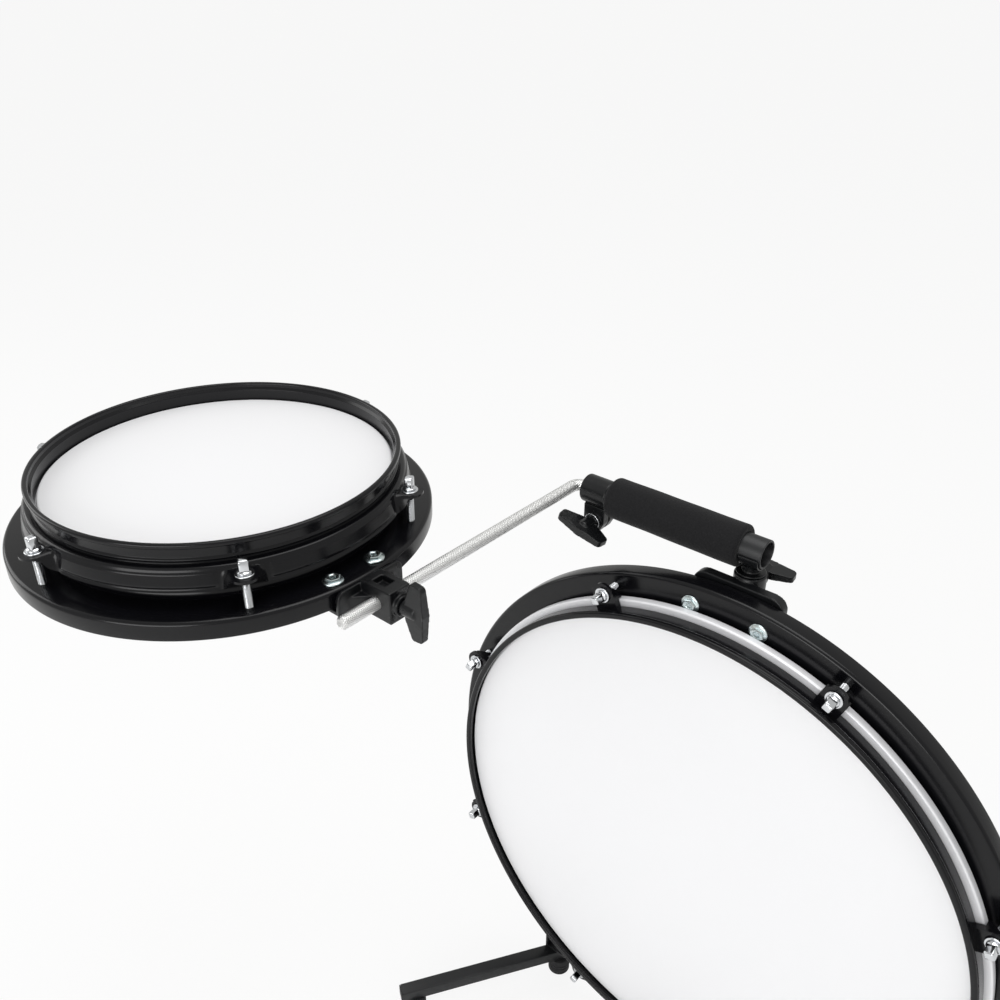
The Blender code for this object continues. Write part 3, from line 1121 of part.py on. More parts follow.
def leg(side, name):
    """Square tube that swings on its bolt, with plugged ends and a rubber foot at the far one."""
    rest = -LEG_REST_ANGLE if side > 0 else math.pi + LEG_REST_ANGLE
    pivot = empty("leg_axis_" + name, kit_frame, (side * LEG_PIVOT_X, LEG_PIVOT_DEPTH, -BASS_CENTRE_HEIGHT),
                  (0, 0, rest))
    width = LEG_BAR_WIDTH
    level = LEG_BAR_CLEARANCE + width / 2
    length = LEG_BAR_REACH + LEG_BAR_HEEL
    middle = (LEG_BAR_REACH - LEG_BAR_HEEL) / 2
    bar = place(block("leg_bar_" + name, (length, width, width), (middle, 0, level), LEG_BAR_EDGE_R), pivot)
    hollow = width - 2 * LEG_BAR_WALL
    inside = block("inside", (length + 4 * CUT_MARGIN, hollow, hollow), (middle, 0, level))
    bolt_hole = pin("bolt_hole", LEG_BOLT_R + RUNNING_GAP, LEG_BAR_CLEARANCE - CUT_MARGIN,
                    LEG_BAR_CLEARANCE + width + CUT_MARGIN)
    cut(bar, place(inside, pivot), place(bolt_hole, pivot))
    paint(bar, SATIN_BLACK)

    core = hollow - 2 * SEAT_GAP
    plug = block("plug", (LEG_PLUG_DEPTH, core, core), (-LEG_PLUG_DEPTH / 2 + LEG_PLUG_FLANGE / 2, 0, 0))
    fuse(plug, block("flange", (LEG_PLUG_FLANGE, width - CUT_MARGIN, width - CUT_MARGIN),
                     (LEG_PLUG_FLANGE / 2 + SEAT_GAP, 0, 0), 0.4 * MM))
    end_plug = finished(plug, "leg_end_plug_" + name, NYLON)
    place(end_plug, pivot, (LEG_BAR_REACH, 0, level))

    foot_height = LEG_BAR_CLEARANCE - SEAT_GAP
    toe = turned("leg_toe_foot_" + name, foot_outline(foot_height), SHAFT_STEPS, False)
    paint(place(toe, pivot, (LEG_BAR_REACH - TOE_FOOT_INSET, 0, 0)), RUBBER)
    heel = turned("leg_pivot_foot_" + name,
                  foot_outline(foot_height, LEG_BOLT_R + SEAT_GAP, LEG_BOLT_BITE), SHAFT_STEPS, False)
    paint(place(heel, kit_frame, tuple(pivot.location)), RUBBER)

    shelf_top = LEG_BAR_CLEARANCE + width + SEAT_GAP + LEG_POST_SHEET + FACE_STEP / 2
    head_low = shelf_top + SEAT_GAP
    bolt_end = foot_height - LEG_BOLT_BITE + SEAT_GAP
    head_top = head_low + LEG_BOLT_HEAD_HEIGHT
    bolt = turned("leg_pivot_bolt_" + name, rounded([
        (0, head_top), (LEG_BOLT_HEAD_R, head_top, 1.6 * MM), (LEG_BOLT_HEAD_R, head_low),
        (LEG_BOLT_R, head_low), (LEG_BOLT_R, bolt_end), (0, bolt_end)], 2), FASTENER_STEPS, False)
    paint(place(bolt, kit_frame, tuple(pivot.location)), ZINC)


for side, name in ((-1, "left"), (1, "right")):
    leg_bracket(side, "leg_bracket_" + name)
    leg(side, name)
    screw_names = ["leg_bracket_screw_" + name + "_" + str(i + 1) for i in range(2)]
    bracket_screws(bass, screw_names, leg_screw_places(side),
                   bracket_back + LEG_POST_SHEET + NUT_HEIGHT - bass.face_depth)


def pedal_plate():
    """Folded plate behind the foot of the pan, with a shelf in front for a pedal's clamp."""
    sheet = PEDAL_PLATE_SHEET
    half = PEDAL_PLATE_WIDTH / 2
    shelf_top = -bass.pan_r - PEDAL_PLATE_DROP
    corner = PEDAL_PLATE_CORNER_R
    upright_top = -bass.pan_r + BRACKET_DROP
    outline = rounded([(-half, shelf_top - sheet), (half, shelf_top - sheet),
                       (half, upright_top, corner), (-half, upright_top, corner)])
    upright = slab("pedal_plate", outline, sheet)
    place(upright, kit_frame, (0, bracket_back + sheet / 2, 0), FACE_BACK)
    front = -PEDAL_PLATE_REACH
    shelf_half = half - FACE_STEP
    shelf_back = bracket_back + sheet / 2
    shelf = slab("shelf", [(-shelf_half, shelf_back), (-shelf_half, front),
                           (shelf_half, front), (shelf_half, shelf_back)], sheet)
    lip = block("lip", (PEDAL_PLATE_WIDTH - FUSE_BITE, sheet, PEDAL_PLATE_LIP),
                (0, front + sheet / 2 + FACE_STEP, shelf_top - PEDAL_PLATE_LIP / 2 - FACE_STEP))
    shelf_height = shelf_top - sheet / 2 + FACE_STEP / 2
    fuse(upright, place(shelf, kit_frame, (0, 0, shelf_height)), place(lip, kit_frame))
    places = pair_places(BASS_SCREW_CIRCLE_R, PEDAL_SCREW_HALF_PITCH, -QUARTER)
    holes = screw_holes(places, -bracket_back - sheet - NUT_HEIGHT - CUT_MARGIN, -bracket_back + CUT_MARGIN)
    fuse(upright, place(weld_nuts(places, -bracket_back - sheet + FUSE_BITE), bass_frame))
    cut(upright, place(holes, bass_frame))
    paint(upright, SATIN_BLACK)
    bracket_screws(bass, ("pedal_plate_screw_left", "pedal_plate_screw_right"), places,
                   bracket_back + sheet + NUT_HEIGHT - bass.face_depth)


pedal_plate()
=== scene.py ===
"""Looks of the compact travelling drum kit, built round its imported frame."""
import math

import bmesh
import bpy
import numpy as np
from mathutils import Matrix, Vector


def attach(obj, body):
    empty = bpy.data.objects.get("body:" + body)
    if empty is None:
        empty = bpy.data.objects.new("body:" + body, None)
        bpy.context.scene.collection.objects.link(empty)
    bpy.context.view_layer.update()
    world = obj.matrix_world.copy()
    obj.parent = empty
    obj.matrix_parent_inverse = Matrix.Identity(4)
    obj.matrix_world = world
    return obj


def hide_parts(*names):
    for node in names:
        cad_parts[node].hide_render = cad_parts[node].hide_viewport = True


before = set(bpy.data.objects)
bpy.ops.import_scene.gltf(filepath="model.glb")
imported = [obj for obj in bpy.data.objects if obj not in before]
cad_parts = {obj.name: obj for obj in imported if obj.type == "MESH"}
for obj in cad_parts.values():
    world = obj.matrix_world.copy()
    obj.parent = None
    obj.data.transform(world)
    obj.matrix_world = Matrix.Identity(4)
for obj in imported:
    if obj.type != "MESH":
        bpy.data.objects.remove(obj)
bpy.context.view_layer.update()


# Camera.
BASS = np.array([117.9, 105.85, 283.0])
CAMERA_FROM_BASS = [250.4, -511.2, 647.0]
VIEW = (-0.5693, 0.6644, -0.4842)
camera = bpy.data.objects.new("camera", bpy.data.cameras.new("camera"))
bpy.context.collection.objects.link(camera)
camera.data.sensor_width = 36.0
camera.data.lens = 35.35
camera.data.clip_end = 120.0
camera.location = Vector(BASS + CAMERA_FROM_BASS) / 1000.0
camera.rotation_euler = Vector(VIEW).to_track_quat("-Z", "Y").to_euler()
bpy.context.scene.camera = camera


# Studio. Seamless white paper under three softboxes, as in a product photograph.
def node(owner, kind, values=(), links=(), **settings):
    """Adds a node: values maps a socket to a number, links maps a socket to (node, output)."""
    made = owner.node_tree.nodes.new(kind)
    for key, value in settings.items():
        setattr(made, key, value)
    for socket, value in dict(values).items():
        made.inputs[socket].default_value = value
    for socket, (source, output) in dict(links).items():
        join(owner, source, output, made, socket)
    return made


def join(owner, source, output, target, socket):
    """Links one node's output to another's socket."""
    owner.node_tree.links.new(source.outputs[output], target.inputs[socket])


def linear(colour):
    """Linear colour of an sRGB one in hexadecimal: c / 12.92 in the darkest part, and past it
    (c + 0.055) / 1.055 to the power 2.4."""
    parts = [int(colour[i:i + 2], 16) / 255.0 for i in (0, 2, 4)]
    return [c / 12.92 if c <= 0.04045 else ((c + 0.055) / 1.055) ** 2.4 for c in parts] + [1.0]


def surface_of(name, colour, roughness, metallic=0.0, **sockets):
    """A Principled material, and its shader."""
    material = bpy.data.materials.new(name)
    material.use_nodes = True
    shader = material.node_tree.nodes["Principled BSDF"]
    shader.inputs["Base Color"].default_value = linear(colour)
    shader.inputs["Roughness"].default_value = roughness
    shader.inputs["Metallic"].default_value = metallic
    for socket, value in sockets.items():
        shader.inputs[socket.replace("_", " ")].default_value = value
    return material, shader


# Matt paper: 86 % of what the camera sees of it is even white light, the rest is lit and shaded
PAPER_WHITE = 0.86
paper, shader = surface_of("seamless_paper", "f4f4f4", 0.9)
path = node(paper, "ShaderNodeLightPath")
glow = node(paper, "ShaderNodeEmission", {"Strength": 1.0, "Color": linear("ffffff")})
share = node(paper, "ShaderNodeMath", {1: PAPER_WHITE}, {0: (path, "Is Camera Ray")},
             operation="MULTIPLY")
mix = node(paper, "ShaderNodeMixShader", (), {0: (share, 0), 1: (shader, 0), 2: (glow, 0)})
join(paper, mix, 0, paper.node_tree.nodes["Material Output"], "Surface")
HALF_FLOOR = 40
corners = [(x * HALF_FLOOR, y * HALF_FLOOR, 0) for x, y in ((-1, -1), (1, -1), (1, 1), (-1, 1))]
floor_mesh = bpy.data.meshes.new("floor")
floor_mesh.from_pydata(corners, [], [(0, 1, 2, 3)])
floor_mesh.materials.append(paper)
floor = bpy.data.objects.new("floor", floor_mesh)
bpy.context.collection.objects.link(floor)

world = bpy.data.worlds.new("studio")
bpy.context.scene.world = world
world.use_nodes = True
sky = world.node_tree.nodes["Background"]
sky.inputs["Color"].default_value = linear("f8f8f6")
seen = node(world, "ShaderNodeLightPath")
level = node(world, "ShaderNodeMapRange", {"To Min": 0.6, "To Max": 1.0},
             {"Value": (seen, "Is Camera Ray")})
join(world, level, "Result", sky, "Strength")


def softbox(name, place, target, size, power):
    """Area lamp of a size in metres and a power in watts, aimed at a point."""
    lamp = bpy.data.objects.new(name, bpy.data.lights.new(name, "AREA"))
    bpy.context.collection.objects.link(lamp)
    lamp.data.shape = "RECTANGLE"
    lamp.data.size, lamp.data.size_y = size
    lamp.data.energy = power
    lamp.location = place
    lamp.rotation_euler = (Vector(target) - Vector(place)).to_track_quat("-Z", "Y").to_euler()


softbox("overhead_softbox", (0.1, 0.3, 2.6), (0.0, 0.0, 0.4), (1.6, 1.6), 19)
softbox("left_softbox", (-2.2, -0.7, 1.4), (-0.1, 0.0, 0.4), (1.0, 1.6), 10)
softbox("front_softbox", (0.5, -2.6, 1.1), (0.0, 0.0, 0.3), (2.0, 1.2), 27)

bpy.context.scene.view_settings.view_transform = "Standard"


# Pan rings.
# Each drum is a spun steel pan: a bearing collar inside, a flat face, and a deep rounded rim, with
# a weld nut behind each rod's hole. Powder coat gives it a deep gloss black.
def rounded(corners, fine=5):
    """Outline through corners (x, y, radius): each radius becomes an arc of `fine` steps, whose
    ends lie radius / tan(half the corner's angle) from the corner."""
    corners = [tuple(c) + (0.0,) * (3 - len(c)) for c in corners]
    points = []
    for i, (x, y, radius) in enumerate(corners):
        here = np.array([x, y])
        if radius <= 0.0:
            points.append(here[None])
            continue
        back = np.array(corners[i - 1][:2]) - here
        ahead = np.array(corners[(i + 1) % len(corners)][:2]) - here
        lengths = np.linalg.norm(back), np.linalg.norm(ahead)
        back, ahead = back / lengths[0], ahead / lengths[1]
        half = math.acos(np.clip(back @ ahead, -1.0, 1.0)) / 2
        setback = min(radius / math.tan(half), 0.499 * min(lengths))
        radius = setback * math.tan(half)
        middle = here + (back + ahead) / np.linalg.norm(back + ahead) * radius / math.sin(half)
        first, last = here + back * setback - middle, here + ahead * setback - middle
        sweep = math.pi - 2 * half
        t = np.linspace(0.0, 1.0, fine + 1)[:, None]
        arc = np.sin((1 - t) * sweep) * first + np.sin(t * sweep) * last
        points.append(middle + arc / math.sin(sweep))
    return np.vstack(points)


def turned(outline, steps=240):
    """Turned form: the outline's point (r, h) at angle a lies at (r cos a, r sin a, h)."""
    angle = np.linspace(0.0, 2 * np.pi, steps, endpoint=False)
    r, h = outline[:, :1], outline[:, 1:2]
    return np.stack([r * np.cos(angle), r * np.sin(angle), h + 0 * angle], -1)


def stitched(grid, around=True, along=False, caps=False):
    """Faces of a grid of points: rows join the next row, columns the next column, loops close.

    caps closes the first and the last row with a flat face.
    """
    rows, columns = grid.shape[:2]
    index = np.arange(rows * columns).reshape(rows, columns)
    if along:
        index = np.vstack([index, index[:1]])
    if around:
        index = np.hstack([index, index[:, :1]])
    quads = np.stack([index[:-1, :-1], index[1:, :-1], index[1:, 1:], index[:-1, 1:]], -1)
    faces = quads.reshape(-1, 4).tolist()
    if caps:
        faces.append(np.arange(columns).tolist())
        faces.append(np.arange((rows - 1) * columns, rows * columns)[::-1].tolist())
    return grid.reshape(-1, 3), faces


def merged(*parts):
    """One list of points and faces out of several."""
    points, faces, first = [], [], 0
    for some, more in parts:
        points.append(some)
        faces += [[v + first for v in face] for face in more]
        first += len(some)
    return np.vstack(points), faces


UP_Z = np.eye(3)
# What was drawn upright faces the player, and an outline drawn flat stands up in x and z
FACE_FRONT = np.array([[1.0, 0.0, 0.0], [0.0, 0.0, 1.0], [0.0, -1.0, 0.0]])


def set_at(shape, origin, axes=UP_Z):
    """Carries a shape to a place: its own x, y and z run along the rows of axes."""
    points, faces = shape
    return points @ axes + np.asarray(origin), faces


def turn_z(a):
    """Axes turned by an angle about z: x runs along (cos a, sin a), y along (-sin a, cos a)."""
    return np.array([[math.cos(a), math.sin(a), 0], [-math.sin(a), math.cos(a), 0], [0, 0, 1]])


def copies_round(shape, count, radius, first):
    """The shape repeated round z: copy i stands at the angle first + i turns / count, at the
    radius, its own x pointing outwards."""
    out = []
    for i in range(count):
        a = first + 2 * math.pi * i / count
        out.append(set_at(shape, (radius * math.cos(a), radius * math.sin(a), 0), turn_z(a)))
    return merged(*out)


def blend_shapes(item, grain):
    """Joins overlapping shells into one casting: cells of `grain` mm, then edges softened."""
    cells = item.modifiers.new("cells", "REMESH")
    cells.mode = "VOXEL"
    cells.voxel_size = grain * 0.001
    soften = item.modifiers.new("soften", "SMOOTH")
    soften.factor = 0.5
    soften.iterations = 4
    bpy.context.view_layer.update()
    changed = item.evaluated_get(bpy.context.evaluated_depsgraph_get())
    whole = bpy.data.meshes.new_from_object(changed)
    item.modifiers.clear()
    item.data = whole


def piece(name, shape, material, body, nodes, sharp=40.0, grain=0.0):
    """A finished piece in metres: it rides on a body and stands for its CAD nodes."""
    points, faces = shape
    mesh = bpy.data.meshes.new(name)
    mesh.from_pydata((points * 0.001).tolist(), [], faces)
    poles = bmesh.new()
    poles.from_mesh(mesh)
    bmesh.ops.remove_doubles(poles, verts=poles.verts, dist=1e-6)
    poles.to_mesh(mesh)
    poles.free()
    mesh.materials.append(material)
    item = bpy.data.objects.new(name, mesh)
    bpy.context.collection.objects.link(item)
    if grain:
        blend_shapes(item, grain)
    mesh = item.data
    mesh.shade_smooth()
    mesh.set_sharp_from_angle(angle=math.radians(sharp))
    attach(item, body)
    if nodes:
        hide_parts(*nodes)
    return item


def noise(material, scale, detail, roughness=0.5):
    """Noise through the object, with `scale` cells to the metre and `detail` finer octaves."""
    space = node(material, "ShaderNodeTexCoord")
    return node(material, "ShaderNodeTexNoise",
                {"Scale": scale, "Detail": detail, "Roughness": roughness},
                {"Vector": (space, "Object")})


def bumped(material, shader, pattern, output, strength, distance):
    """The surface is shaded as if it rose by the pattern times a distance in metres."""
    relief = node(material, "ShaderNodeBump", {"Strength": strength, "Distance": distance},
                  {"Height": (pattern, output)})
    join(material, relief, 0, shader, "Normal")


def worn(material, shader, pattern, low, high):
    """Roughness: low + pattern x (high - low)."""
    wear = node(material, "ShaderNodeMapRange", {"To Min": low, "To Max": high},
                {"Value": (pattern, 0)})
    join(material, wear, 0, shader, "Roughness")


# Gloss powder coat on steel: a faint orange peel of about 2 mm breaks up its reflections
gloss_coat, shader = surface_of("gloss_powder_coat_on_steel", "0b0b0e", 0.2, IOR=1.38)
bumped(gloss_coat, shader, noise(gloss_coat, 420.0, 2.0), 0, 0.06, 0.0002)
worn(gloss_coat, shader, noise(gloss_coat, 9.0, 4.0), 0.13, 0.26)


def pan_outline(collar, bearing, face, back, rim, fillet):
    """Half section of a pan: collar, face, rim and the hem turned in, in sheet of one gauge."""
    sheet, hem = 2.2, 8.0
    return rounded([
        (collar - sheet, -bearing, 1.0), (collar, -bearing, 1.0), (collar, -face, fillet),
        (rim, -face, 3.0), (rim, -back, 1.4), (rim - hem, -back, 0.5),
        (rim - hem, -back + sheet, 0.5), (rim - sheet, -back + sheet, 0.8),
        (rim - sheet, -face - sheet, 1.0), (collar - sheet, -face - sheet, 3.0)])


def hexagon(radius, low, high, chamfer=0.7):
    """Hexagon nut between two heights, its upper corners chamfered."""
    return turned(np.array([(0.0, high), (radius - chamfer, high), (radius, high - chamfer * 0.6),
                            (radius, low), (0.0, low)]), 6)


GRIP = BASS + [0.0, 60.0, 276.0]
SNARE = GRIP + [-331.8, -211.5, 52.3]
BASS_COLLAR, BASS_RODS, BASS_ROD_CIRCLE = 225.6, 8, 241.0
SNARE_COLLAR, SNARE_RODS, SNARE_ROD_CIRCLE = 126.6, 6, 145.0
bass_section = pan_outline(BASS_COLLAR, 8.2, 26.0, 41.5, 252.0, 2.8)
bass_pan = stitched(turned(bass_section, 420), along=True)
nut = stitched(hexagon(5.6, -34.2, -27.9))
bass_nuts = copies_round(nut, BASS_RODS, BASS_ROD_CIRCLE, math.pi / BASS_RODS)
piece("bass_pan", set_at(merged(bass_pan, bass_nuts), BASS, FACE_FRONT), gloss_coat, "bass_drum",
      ["bass_pan_ring"])

snare_section = pan_outline(SNARE_COLLAR, 14.5, 44.0, 58.0, 156.0, 5.0)
snare_pan = stitched(turned(snare_section, 360), along=True)
snare_nuts = copies_round(set_at(nut, (0, 0, -18.0)), SNARE_RODS, SNARE_ROD_CIRCLE,
                          math.pi / SNARE_RODS)
piece("snare_pan", set_at(merged(snare_pan, snare_nuts), SNARE), gloss_coat, "snare_drum",
      ["snare_pan_ring"])


# Heads.
# Coated polyester film stretched over the collar, with its hem gripped in an aluminium channel.
# The coating is a matt white with a very fine grain.
coated_film, shader = surface_of("coated_polyester_film", "f6f6f8", 0.55, IOR=1.5)
bumped(coated_film, shader, noise(coated_film, 900.0, 3.0), 0, 0.12, 0.0002)


def head_outline(collar, level, hem_top, hem_bottom, hem_r):
    """Half section of a head: flat film, a turn over the collar, and the hem."""
    inner, film = collar + 0.3, 0.6
    return rounded([
        (0.0, -level), (inner + film, -level, 1.9), (inner + film, -hem_top, 0.6),
        (hem_r, -hem_top, 0.8), (hem_r, -hem_bottom, 0.8), (inner, -hem_bottom),
        (inner, -level - film, 1.4), (0.0, -level - film)])


def channel_outline(inner, outer, top, bottom):
    """Half section of the flesh hoop: a channel open inwards, in sheet of one gauge."""
    wall = 1.3
    return rounded([
        (inner, -top, 0.4), (outer, -top, 1.4), (outer, -bottom, 1.4), (inner, -bottom, 0.4),
        (inner, -bottom + wall), (outer - wall, -bottom + wall, 0.5),
        (outer - wall, -top - wall, 0.5), (inner, -top - wall)])


bass_film = stitched(turned(head_outline(BASS_COLLAR, 7.3, 16.5, 20.1, 233.4), 360))
piece("bass_batter_head", set_at(bass_film, BASS, FACE_FRONT), coated_film, "bass_drum",
      ["bass_head"])
snare_film = stitched(turned(head_outline(SNARE_COLLAR, 13.6, 19.3, 22.1, 131.3), 300))
piece("snare_batter_head", set_at(snare_film, SNARE), coated_film, "snare_drum", ["snare_head"])

# Satin anodised aluminium: the oxide skin scatters light, so the hoop looks almost white
rolled_aluminium, shader = surface_of("satin_anodised_aluminium", "f6f6f9", 0.5, 0.4)
worn(rolled_aluminium, shader, noise(rolled_aluminium, 220.0, 3.0), 0.38, 0.58)
bass_channel = stitched(turned(channel_outline(226.8, 235.0, 14.9, 21.7), 360), along=True)
piece("bass_hoop_channel", set_at(bass_channel, BASS, FACE_FRONT), rolled_aluminium, "bass_drum",
      ["bass_flesh_hoop"])
snare_channel = stitched(turned(channel_outline(127.8, 132.9, 17.7, 23.7), 300), along=True)
piece("snare_hoop_channel", set_at(snare_channel, SNARE), rolled_aluminium, "snare_drum",
      ["snare_flesh_hoop"])


# Bass counterhoop.
# A rolled steel band with a stiff lip that presses the flesh hoop down. At each rod a bracket
# folded from sheet is welded on: a round-ended tongue over two side walls.
def lip_and_wall(lip_in, lip_out, wall_in, wall_out, foot):
    """Half section of a plain counterhoop."""
    return rounded([
        (lip_in, 0.0, 1.5), (lip_out, 0.0, 1.6), (lip_out, -3.6, 1.2), (wall_out, -4.6, 0.8),
        (wall_out, -foot, 0.6), (wall_in, -foot, 0.6), (wall_in, -5.2, 0.8),
        (lip_in, -3.6, 1.0)])


def prism(outline, low, high):
    """A flat outline (x, y) carried straight up from low to high."""
    ring = np.concatenate([outline, 0 * outline[:, :1]], 1)
    return stitched(np.stack([ring + [0, 0, high], ring + [0, 0, low]]), caps=True)


bass_hoop = stitched(turned(lip_and_wall(225.2, 230.2, 227.6, 229.6, 14.6), 420), along=True)
tongue = rounded([(-12.2, -9.5), (9.5, -9.5, 9.4), (9.5, 9.5, 9.4), (-12.2, 9.5)], 12)
side_wall = rounded([(-12.2, -9.0), (5.0, -9.0), (5.0, -11.2, 1.0), (-5.2, -20.8, 1.0),
                     (-5.2, -14.2), (-12.2, -14.2)], 4)
ear = [prism(tongue, -11.2, -8.8)]
for side in (-1, 1):
    ear.append(set_at(prism(side_wall, -1.0, 1.0), (0, side * 8.4, 0), FACE_FRONT))
bass_ears = copies_round(merged(*ear), BASS_RODS, BASS_ROD_CIRCLE, math.pi / BASS_RODS)
piece("bass_hoop", set_at(merged(bass_hoop, bass_ears), BASS, FACE_FRONT), gloss_coat,
      "bass_drum", ["bass_counterhoop"])


# Snare counterhoop.
# It is pressed from one steel sheet: a rolled lip, a band with a bead, and a skirt that hangs
# between the rods and bends out flat at each rod to make its ear.
def smooth(value):
    """Smooth step: 3 v^2 - 2 v^3."""
    return value * value * (3 - 2 * value)


def ramp(value, start, length):
    """0 before start, 1 past start + length, and straight between."""
    return np.clip((value - start) / length, 0.0, 1.0)


def pressed_hoop(steps=840, along=26):
    """Hoop section turned round z, with a skirt that is bent by an angle b(s, y).

    s is the length along the sheet from the band's foot and y the distance to the nearest rod.
    b goes from level to steep at the shoulder; past the shoulder it stays steep between the rods
    and turns level again within 8 mm of a rod, where the sheet's edge is a half round. Each
    point lies at the foot plus the sum of (cos b, -sin b) x the step, half a gauge off it.
    """
    half_gauge, tip_radius, foot_r, foot_z = 0.9, 9.6, 131.4, -16.6
    angle = np.linspace(0.0, 2 * np.pi, steps, endpoint=False)
    off = angle % math.radians(60) - math.radians(30)
    y = np.abs(SNARE_ROD_CIRCLE * np.sin(off))
    hang = smooth(ramp(y, 7.6, 7.4))
    tip = np.sqrt(np.clip(tip_radius ** 2 - np.clip(y, 0.0, 9.5) ** 2, 0.0, None))
    length = (14.8 + tip) * (1 - hang) + 18.6 * hang
    s = np.linspace(0.0, 1.0, along)[:, None] * length
    bend = np.radians(78.0 * ramp(s, 2.6, 2.4) - (1 - hang) * 76.0 * ramp(s, 5.4, 2.0))
    step = length / (along - 1)
    r = foot_r + np.cumsum(np.cos(bend), 0) * step
    z = foot_z - np.cumsum(np.sin(bend), 0) * step

    # Between the rods the skirt has a raised panel, and its edge is rolled a little outwards
    flat = ramp(y, 17.0, 2.5)
    panel = smooth(flat * ramp(s, 5.4, 1.2) * np.clip((length - 2.2 - s) / 1.2, 0.0, 1.0))
    lip = 0.8 * flat * np.clip((s - length + 1.4) / 1.4, 0.0, 1.0)
    outside = half_gauge + 0.9 * panel + lip
    out_r, out_z = r + np.sin(bend) * outside, z + np.cos(bend) * outside
    in_r, in_z = r - np.sin(bend) * half_gauge, z - np.cos(bend) * half_gauge
    top = rounded([(130.4, 0.0, 1.4), (134.2, 0.0, 1.6), (134.2, -3.4, 1.0), (131.2, -4.8, 0.8),
                   (131.0, -11.4, 0.6), (132.6, -12.9, 0.9), (131.0, -14.4, 0.6),
                   (131.2, -15.6, 0.6), (131.3, -15.7)])[:-1]
    inside = rounded([(128.6, -17.5), (128.6, -17.4), (128.6, -5.4, 0.8), (130.4, -3.4, 0.6),
                      (130.4, -3.3)], 3)[1:-1]
    ones = np.ones_like(angle)
    rows_r = [top[:, :1] * ones, out_r, in_r[::-1], inside[:, :1] * ones]
    rows_z = [top[:, 1:] * ones, out_z, in_z[::-1], inside[:, 1:] * ones]
    rr, zz = np.vstack(rows_r), np.vstack(rows_z)
    return np.stack([rr * np.cos(angle), rr * np.sin(angle), zz], -1)


piece("snare_hoop", set_at(stitched(pressed_hoop(), along=True), SNARE), gloss_coat,
      "snare_drum", ["snare_counterhoop"])


# Tension rods.
# Key rods in bright chrome on steel: a square head, a collar, a loose washer and a threaded shank
# that runs through the hoop's ear into the pan's weld nut.
chrome_plate, shader = surface_of("polished_chrome_plate", "dfe1e4", 0.1, 1.0)
worn(chrome_plate, shader, noise(chrome_plate, 300.0, 3.0), 0.06, 0.16)


def threaded(radius, low, high, pitch, depth, sides=24):
    """Threaded shank: the radius falls by depth along a helix of the pitch."""
    rows = max(2, int((high - low) / pitch * 8))
    h = np.linspace(high, low, rows)[:, None]
    a = np.linspace(0.0, 2 * np.pi, sides, endpoint=False)
    phase = (h / pitch + a / (2 * np.pi)) % 1.0
    r = radius - depth * np.abs(2 * phase - 1)
    return np.stack([r * np.cos(a), r * np.sin(a), h + 0 * a], -1)


def square_head(size, low, high):
    """Square key head with softened corners and a domed top."""
    half = size / 2
    square = rounded([(-half, -half, 0.9), (half, -half, 0.9), (half, half, 0.9),
                      (-half, half, 0.9)], 3)
    levels = [(high, 0.72), (high - 0.45, 0.9), (high - 1.2, 1.0), (low, 1.0)]
    rows = [np.concatenate([square * k, np.full((len(square), 1), h)], 1) for h, k in levels]
    return stitched(np.stack(rows), caps=True)


def key_rod(seat, end):
    """A rod whose washer rests at seat and whose thread ends at end."""
    shank, washer_r, collar_r = 2.9, 6.4, 4.8
    washer = rounded([(2.0, seat + 1.3), (washer_r, seat + 1.3, 0.5), (washer_r, seat, 0.3),
                      (2.0, seat)], 3)
    collar = rounded([(0.0, seat + 3.4), (3.4, seat + 3.4, 0.4), (collar_r, seat + 2.6, 0.6),
                      (collar_r, seat + 1.4, 0.4), (0.0, seat + 1.4)], 3)
    neck = rounded([(0.0, seat), (shank, seat), (shank, seat - 3.0, 0.3), (0.0, seat - 3.0)], 2)
    thread = threaded(shank, end, seat - 3.0, 1.0, 0.42)
    return merged(stitched(turned(washer, 40), along=True), stitched(turned(collar, 40)),
                  square_head(6.4, seat + 3.0, seat + 11.4), stitched(turned(neck, 32)),
                  stitched(thread, caps=True))


def rod_set(drum, body, origin, axes, count, radius, seat, end):
    """One rod at each lug, each a piece of its own: rod i stands at (i + 1/2) turns / count."""
    shape = key_rod(seat, end)
    for i in range(count):
        a = math.pi / count + 2 * math.pi * i / count
        place = (radius * math.cos(a), radius * math.sin(a), 0)
        local = set_at(shape, place, turn_z(a))
        name = drum + "_tension_rod_" + str(i + 1)
        piece(drum + "_key_rod_" + str(i + 1), set_at(local, origin, axes), chrome_plate, body,
              [name])


rod_set("bass", "bass_drum", BASS, FACE_FRONT, BASS_RODS, BASS_ROD_CIRCLE, -8.5, -37.7)
rod_set("snare", "snare_drum", SNARE, UP_Z, SNARE_RODS, SNARE_ROD_CIRCLE, -19.5, -55.7)


# Bracket screws.
# Hexagon flange screws of zinc plated steel, with a recess in the head. They go through the pan's
# face into the nuts of the brackets. The blue passivate has a cold, slightly uneven tint.
def tinted(material, shader, pattern, dark, light):
    """Base colour: dark + pattern x (light - dark)."""
    tint = node(material, "ShaderNodeMix", {"A": linear(dark), "B": linear(light)},
                {"Factor": (pattern, 0)}, data_type="RGBA")
    join(material, tint, "Result", shader, "Base Color")


zinc_blue, shader = surface_of("blue_zinc_plate", "cfdadd", 0.24, 1.0)
tinted(zinc_blue, shader, noise(zinc_blue, 180.0, 3.0), "b9cdd6", "e3e6df")


